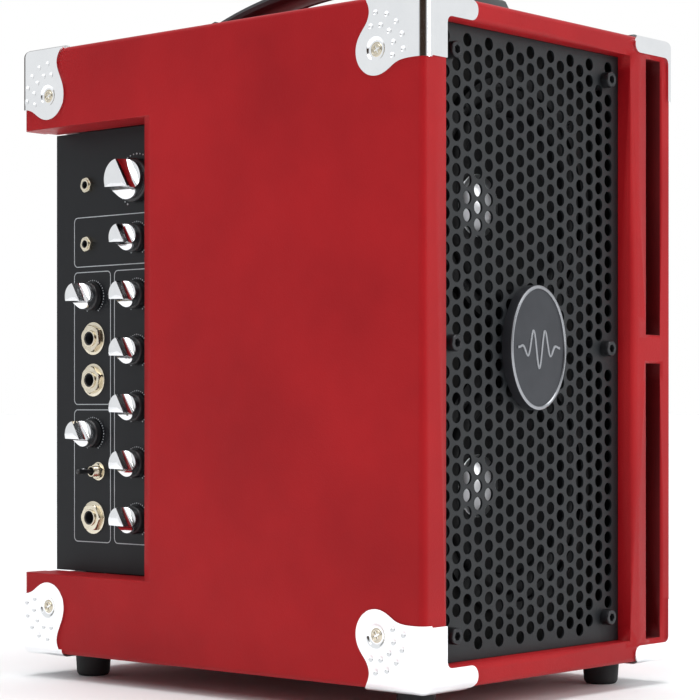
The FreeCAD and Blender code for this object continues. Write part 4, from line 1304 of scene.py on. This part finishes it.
def add_jack_bodies(bm):
    """The moulded bodies behind the panel, open along the plug's way in."""
    for place in jack_places():
        inner = place + Vector((2.2, 0, 0)) * MM
        ring = [(3.4, 0), (8.0, 0), (8.0, -22.5), (3.4, -22.5)]
        add_turned(bm, ring, inner, LEFT, 6)


def hex_nut(bm, place, reach, low, high, bore, turn):
    """A six-sided nut, its outer corners chamfered on a cone, round a bore. Millimetres."""
    matrix = facing(place, LEFT)
    steps = 48
    side = math.pi / 3
    flats = [reach * math.cos(side / 2) / math.cos((2 * math.pi * k / steps - turn) % side - side / 2)
             for k in range(steps)]
    chamfers = ((low, reach * 0.97), (low + 0.3, reach * 1.2), (high - 0.45, reach * 1.2),
                (high, reach * 0.92))
    rings = [add_ring(bm, matrix, [min(flat, cone) for flat in flats], level) for level, cone in chamfers]
    rings += [add_ring(bm, matrix, [bore] * steps, level) for level in (high, low)]
    join_rings(bm, rings, closed=True)


def build_mini_jacks():
    """The two small sockets: six-sided nickel nuts round black inserts."""
    low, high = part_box("mini_jacks")
    metal, insert = bmesh.new(), bmesh.new()
    centre_y = (low.y + high.y) / 2
    for z in (low.z + (high.y - low.y) / 2, high.z - (high.y - low.y) / 2):
        place = Vector((PANEL_LOW.x, centre_y, z))
        hex_nut(metal, place, 4.6, 0.0, 2.2, 3.05, 0.2)
        add_turned(metal, soften([(2.2, -1), (3.1, -1), (3.1, 2.9), (2.2, 2.9)], 0.15), place, LEFT, 32)
        add_turned(insert, [(1.8, -9), (2.3, -9), (2.3, 2.6), (1.8, 2.6)], place, LEFT, 32)
        add_turned(insert, [(1.0, -2.2), (3.6, -2.2), (3.6, -11.0), (1.0, -11.0)], place, LEFT, 32)
    piece("mini_jack_rings", metal, nickel(), "cabinet", angle=30)
    piece("mini_jack_inserts", insert, black_plastic(), "cabinet", ["mini_jacks"], angle=30)


def build_toggle():
    """The small toggle: threaded bush, six-sided nut, washer, the case behind and a waisted lever."""
    place = at(23, 256.9, 102.3)
    metal = bmesh.new()
    add_turned(metal, soften([(3.1, 0), (5.2, 0), (5.2, 0.5), (3.1, 0.5)], 0.15), place, LEFT, 40)
    hex_nut(metal, place, 4.7, 0.55, 2.3, 3.1, 0.3)
    thread = [(2.1, -2), (3.0, -2)]
    for turn in range(7):
        level = 0.2 + turn * 0.8
        thread += [(3.05, level), (2.8, level + 0.4)]
    thread += [(2.95, 5.9), (2.5, 6.0), (2.25, 5.2)]
    add_turned(metal, thread, place, LEFT, 40)
    half_wide, half_tall = 0.0033, 0.0063
    near = Vector((PANEL_HIGH.x + 0.0003, place.y - half_wide, place.z - half_tall))
    deepest = min(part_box("toggle_switch")[1].x, near.x + 0.0095)
    add_block(metal, near, Vector((deepest, place.y + half_wide, place.z + half_tall)), 0.0003)
    piece("toggle_bush", metal, nickel(), "cabinet", ["toggle_switch"], angle=30)
    lever_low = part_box("toggle_lever")[0]
    length = (place.x - lever_low.x) / MM
    lever = bmesh.new()
    outline = [(0, 1.4), (1.25, 1.4), (1.3, 5.0), (1.2, 6.2), (1.15, length - 6), (1.55, length - 2.4),
               (1.6, length - 1.2), (1.25, length - 0.3), (0, length)]
    add_turned(lever, soften(outline, 0.5, 3), place, LEFT, 32, closed=False)
    piece("toggle_stick", lever, black_plastic(), "toggle", ["toggle_lever"], angle=40)


def build_clip_light():
    """The clip light: a domed clear lens standing out of the panel."""
    tall = (PANEL_LOW.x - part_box("clip_lamp")[0].x) / MM
    bm = bmesh.new()
    radius = 1.5
    outline = [(0, -5.0), (1.7, -5.0), (1.7, -2.3), (radius, -2.2), (radius, tall - 1.5)]
    outline += [(radius * math.cos(turn), tall - 1.5 + 1.5 * math.sin(turn))
                for turn in [math.pi * k / 16 for k in range(1, 8)]] + [(0, tall)]
    add_turned(bm, outline, Vector((PANEL_LOW.x, *middle("clip_lamp").yz)), LEFT, 32, closed=False)
    piece("clip_lens", bm, clear_lens(), "cabinet", ["clip_lamp"], angle=40)


INK_RISE = 0.00012


def ink_loop(bm, points, width):
    """A thin raised line of ink on the panel, round a loop of (y, z) points."""
    face, foot = PANEL_LOW.x - INK_RISE, PANEL_LOW.x - INK_RISE * 0.1
    count = len(points)
    rings = []
    for index, point in enumerate(points):
        way = (Vector(points[(index + 1) % count]) - Vector(points[index - 1])).normalized()
        across = Vector((-way.y, way.x)) * width / 2
        left, right = Vector(point) + across, Vector(point) - across
        rings.append([bm.verts.new((x, spot.x, spot.y))
                      for x, spot in ((foot, left), (face, left), (face, right), (foot, right))])
    join_rings(bm, rings, closed=True)


def rounded_box(y_low, y_high, z_low, z_high, radius, steps=6):
    """The (y, z) points of a box with round corners, in millimetres from the cabinet corner."""
    points = []
    for cy, cz, start in ((y_high - radius, z_high - radius, 0), (y_low + radius, z_high - radius, 90),
                          (y_low + radius, z_low + radius, 180), (y_high - radius, z_low + radius, 270)):
        for step in range(steps + 1):
            turn = math.radians(start + 90 * step / steps)
            points.append((cy + radius * math.cos(turn), cz + radius * math.sin(turn)))
    return points


def on_panel(points):
    """(y, z) millimetres from the cabinet corner as row-frame metres."""
    return [(COVER_LOW.y + y * MM, COVER_LOW.z + z * MM) for y, z in points]


def build_print():
    """Printed boxes round the groups of controls and a ring of dots round each knob."""
    width = settings()[0].ink
    bm = bmesh.new()
    for sides in ((206.8, 277.4, 218.4, 246.4), (247.1, 277.4, 140.1, 215.2), (247.1, 277.4, 62.1, 137.0),
                  (206.8, 243.8, 62.1, 215.2)):
        ink_loop(bm, on_panel(rounded_box(*sides, 2.6)), width)
    for name in KNOBS:
        knob_dots(bm, name)
    piece("panel_print", bm, print_ink(), "cabinet", angle=30)


def knob_dots(bm, name):
    """A ring of dots from seven o'clock round to five o'clock, every third one larger."""
    radius, _, place = knob_sizes(name)
    gap, size = (0.0012, 0.3) if radius < 0.01 else (0.0026, 0.42)
    reach = radius + gap
    for index in range(31):
        turn = math.radians(240 - 10 * index)
        spot = Vector((PANEL_LOW.x, place.y - math.cos(turn) * reach, place.z + math.sin(turn) * reach))
        wide = size * (1.3 if index % 3 == 0 else 1.0)
        outline = [(0, INK_RISE / MM), (wide, INK_RISE / MM * 0.95), (wide, 0.005), (0, 0.005)]
        add_turned(bm, outline, spot, LEFT, 16, closed=False)


# ------------------------------------------------------------------ rear

def build_rear():
    """Rear board skin, plate, rocker, inlet and screws."""
    coat_node("rear_board", leatherette())
    eased("rear_plate", "back_plate", panel_coat(), "cabinet", 0.0003)
    eased("rocker_frame", "switch_frame", black_plastic(), "cabinet", 0.0004)
    eased("power_rocker", "switch_rocker", black_plastic(), "rocker", 0.0012)
    eased("mains_inlet", "inlet_socket", black_plastic(), "cabinet", 0.0004)
    eased("rear_screws", "back_screw_heads", black_oxide(), "cabinet", 0.0005)


def eased(node, name, material, body, round_by):
    """A piece in a CAD node's own shape, with its sharp edges rounded."""
    bm = bmesh.new()
    bm.from_mesh(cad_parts[node].data)
    bmesh.ops.remove_doubles(bm, verts=bm.verts, dist=MERGE)
    bmesh.ops.dissolve_limit(bm, angle_limit=math.radians(1), verts=bm.verts, edges=bm.edges)
    mesh = carved(solid_of(bm), bevel=round_by, segments=3, angle=40)
    return dress(mesh, name, material, body, [node], 40)


# ------------------------------------------------------------------ floor, light and camera

VIEW = (0.7505, 0.6609, 0.0)
DOOR = (-0.7505, -0.6609, 0.0)
BACK_WALL = (0.25, 0.968, 0.0)


def build_stage():
    """A pale floor, a soft studio light setup and the camera."""
    bm = bmesh.new()
    bmesh.ops.create_grid(bm, x_segments=2, y_segments=2, size=60.0)
    mesh = bpy.data.meshes.new("floor")
    bm.to_mesh(mesh)
    bm.free()
    floor = add_object("floor", mesh)
    mesh.materials.append(floor_paper())
    light_panel("key_light", (-2.0, -0.4, 2.2), (0, 0, 0.2), (1.6, 1.6), 17)
    light_panel("front_light", (0.9, -2.4, 1.3), (0, 0, 0.2), (1.2, 1.6), 32)
    overhead_light()
    build_world()
    build_camera()


def floor_paper():
    """Pale paper floor."""
    return finish("floor_paper", (0.92, 0.92, 0.92), (0.88, 0.88, 0.88), 0.7, drift=(3.0, 0.3),
                  grain=(900.0, 2400.0, 0.00005))


def light_panel(name, place, target, size, power):
    """A soft rectangular light that looks at a point."""
    lamp = bpy.data.lights.new(name, "AREA")
    lamp.shape = "RECTANGLE"
    lamp.size, lamp.size_y = size
    lamp.energy = power
    item = add_object(name, lamp)
    item.location = place
    item.rotation_euler = (Vector(target) - Vector(place)).to_track_quat("-Z", "Y").to_euler()


def overhead_light():
    """A broad lamp straight above, which keeps the floor white out to the far edge."""
    lamp = bpy.data.lights.new("overhead_light", "SUN")
    lamp.energy = 2.4
    lamp.angle = math.radians(50)
    add_object("overhead_light", lamp)


def facing_share(tree, way, direction):
    """How much a direction socket points along a fixed direction, from -1 to 1."""
    node = tree.nodes.new("ShaderNodeVectorMath")
    node.operation = "DOT_PRODUCT"
    node.inputs[1].default_value = direction
    wire(tree, way, node.inputs[0])
    return node.outputs["Value"]


def build_world():
    """A white surround for the eye. Shiny metal sees a softer room with a dark doorway at the front
    left and a dark wall behind."""
    world = bpy.data.worlds.new("studio")
    bpy.context.scene.world = world
    world.use_nodes = True
    tree = world.node_tree
    path = tree.nodes.new("ShaderNodeLightPath")
    way = tree.nodes.new("ShaderNodeTexCoord").outputs["Generated"]
    door = spread(tree, facing_share(tree, way, DOOR), 0.68, 0.86)
    back = spread(tree, facing_share(tree, way, BACK_WALL), 0.78, 0.92)
    dark = math_node(tree, "MAXIMUM", door, back)
    room = mix_colour(tree, dark, (0.83, 0.84, 0.85), (0.035, 0.022, 0.016))
    seen = mix_colour(tree, path.outputs["Is Glossy Ray"], (0.36, 0.37, 0.39), room)
    background = tree.nodes["Background"]
    shown = mix_colour(tree, path.outputs["Is Camera Ray"], seen, (1.0, 1.0, 1.0))
    wire(tree, shown, background.inputs["Color"])
    background.inputs["Strength"].default_value = 1.0
    bpy.context.scene.view_settings.view_transform = "Standard"


def build_camera():
    """A long lens, level, looking at the front left corner."""
    lens = bpy.data.cameras.new("camera")
    lens.sensor_width = 36
    lens.lens = 113.47
    lens.shift_y = 0.086
    item = add_object("camera", lens)
    item.location = (-0.9278, -0.8221, 0.1508)
    item.rotation_euler = Vector(VIEW).to_track_quat("-Z", "Y").to_euler()
    bpy.context.scene.camera = item


# ------------------------------------------------------------------ operators

class AMP_OT_cover(bpy.types.Operator):
    """Lay the leatherette cover over the cabinet"""
    bl_idname = "amp.cover"
    bl_label = "Build Cover"

    def execute(self, context):
        build_cover()
        build_carcass()
        return {"FINISHED"}


class AMP_OT_guards(bpy.types.Operator):
    """Press the eight corner guards and drive their screws"""
    bl_idname = "amp.guards"
    bl_label = "Build Corner Guards"

    def execute(self, context):
        build_guards()
        build_corner_screws()
        return {"FINISHED"}


class AMP_OT_handle(bpy.types.Operator):
    """Fit the strap handle, its end brackets and the feet"""
    bl_idname = "amp.handle"
    bl_label = "Build Handle and Feet"

    def execute(self, context):
        build_handle()
        build_feet()
        return {"FINISHED"}


class AMP_OT_front(bpy.types.Operator):
    """Fit the grille's screws and badge and the drivers behind it"""
    bl_idname = "amp.front"
    bl_label = "Build Front"

    def execute(self, context):
        build_bolts()
        build_badge()
        build_drivers()
        return {"FINISHED"}


class AMP_OT_knobs(bpy.types.Operator):
    """Turn and scoop the nine knobs"""
    bl_idname = "amp.knobs"
    bl_label = "Build Knobs"

    def execute(self, context):
        if not KNOBS:
            raise RuntimeError("The frame has no knobs")
        for name in KNOBS:
            build_knob(name)
        return {"FINISHED"}


class AMP_OT_panel(bpy.types.Operator):
    """Fit the sockets, toggle, clip light and print of the control panel"""
    bl_idname = "amp.panel"
    bl_label = "Build Control Panel"

    def execute(self, context):
        build_jacks()
        build_mini_jacks()
        build_toggle()
        build_clip_light()
        build_print()
        return {"FINISHED"}


class AMP_OT_rear(bpy.types.Operator):
    """Finish the rear board, power plate, switch and inlet"""
    bl_idname = "amp.rear"
    bl_label = "Build Rear"

    def execute(self, context):
        build_rear()
        return {"FINISHED"}


class AMP_OT_stage(bpy.types.Operator):
    """Set up the floor, the lights and the camera"""
    bl_idname = "amp.stage"
    bl_label = "Build Stage"

    def execute(self, context):
        build_stage()
        return {"FINISHED"}


STEPS = (AMP_OT_cover, AMP_OT_guards, AMP_OT_handle, AMP_OT_front, AMP_OT_knobs, AMP_OT_panel, AMP_OT_rear,
         AMP_OT_stage)


class AMP_PT_sidebar(bpy.types.Panel):
    """Settings and build steps of the amplifier"""
    bl_idname = "AMP_PT_sidebar"
    bl_label = "Combo Amplifier"
    bl_space_type = "VIEW_3D"
    bl_region_type = "UI"
    bl_category = "Amplifier"

    def draw(self, context):
        layout = self.layout
        for group in (context.scene.amp_sizes, context.scene.amp_colours):
            column = layout.column()
            for name in group.bl_rna.properties.keys():
                if name not in {"rna_type", "name"}:
                    column.prop(group, name)
        for step in STEPS:
            layout.operator(step.bl_idname)


CLASSES = (AmpSizes, AmpColours, *STEPS, AMP_PT_sidebar)


def register():
    """Add the classes and the scene settings."""
    for item in CLASSES:
        bpy.utils.register_class(item)
    bpy.types.Scene.amp_sizes = bpy.props.PointerProperty(type=AmpSizes)
    bpy.types.Scene.amp_colours = bpy.props.PointerProperty(type=AmpColours)


def unregister():
    """Remove the scene settings and the classes."""
    del bpy.types.Scene.amp_colours
    del bpy.types.Scene.amp_sizes
    for item in reversed(CLASSES):
        bpy.utils.unregister_class(item)


def main():
    """Register the add-on and run every build step."""
    register()
    bpy.ops.amp.cover()
    bpy.ops.amp.guards()
    bpy.ops.amp.handle()
    bpy.ops.amp.front()
    bpy.ops.amp.knobs()
    bpy.ops.amp.panel()
    bpy.ops.amp.rear()
    bpy.ops.amp.stage()


if __name__ == "__main__":
    main()
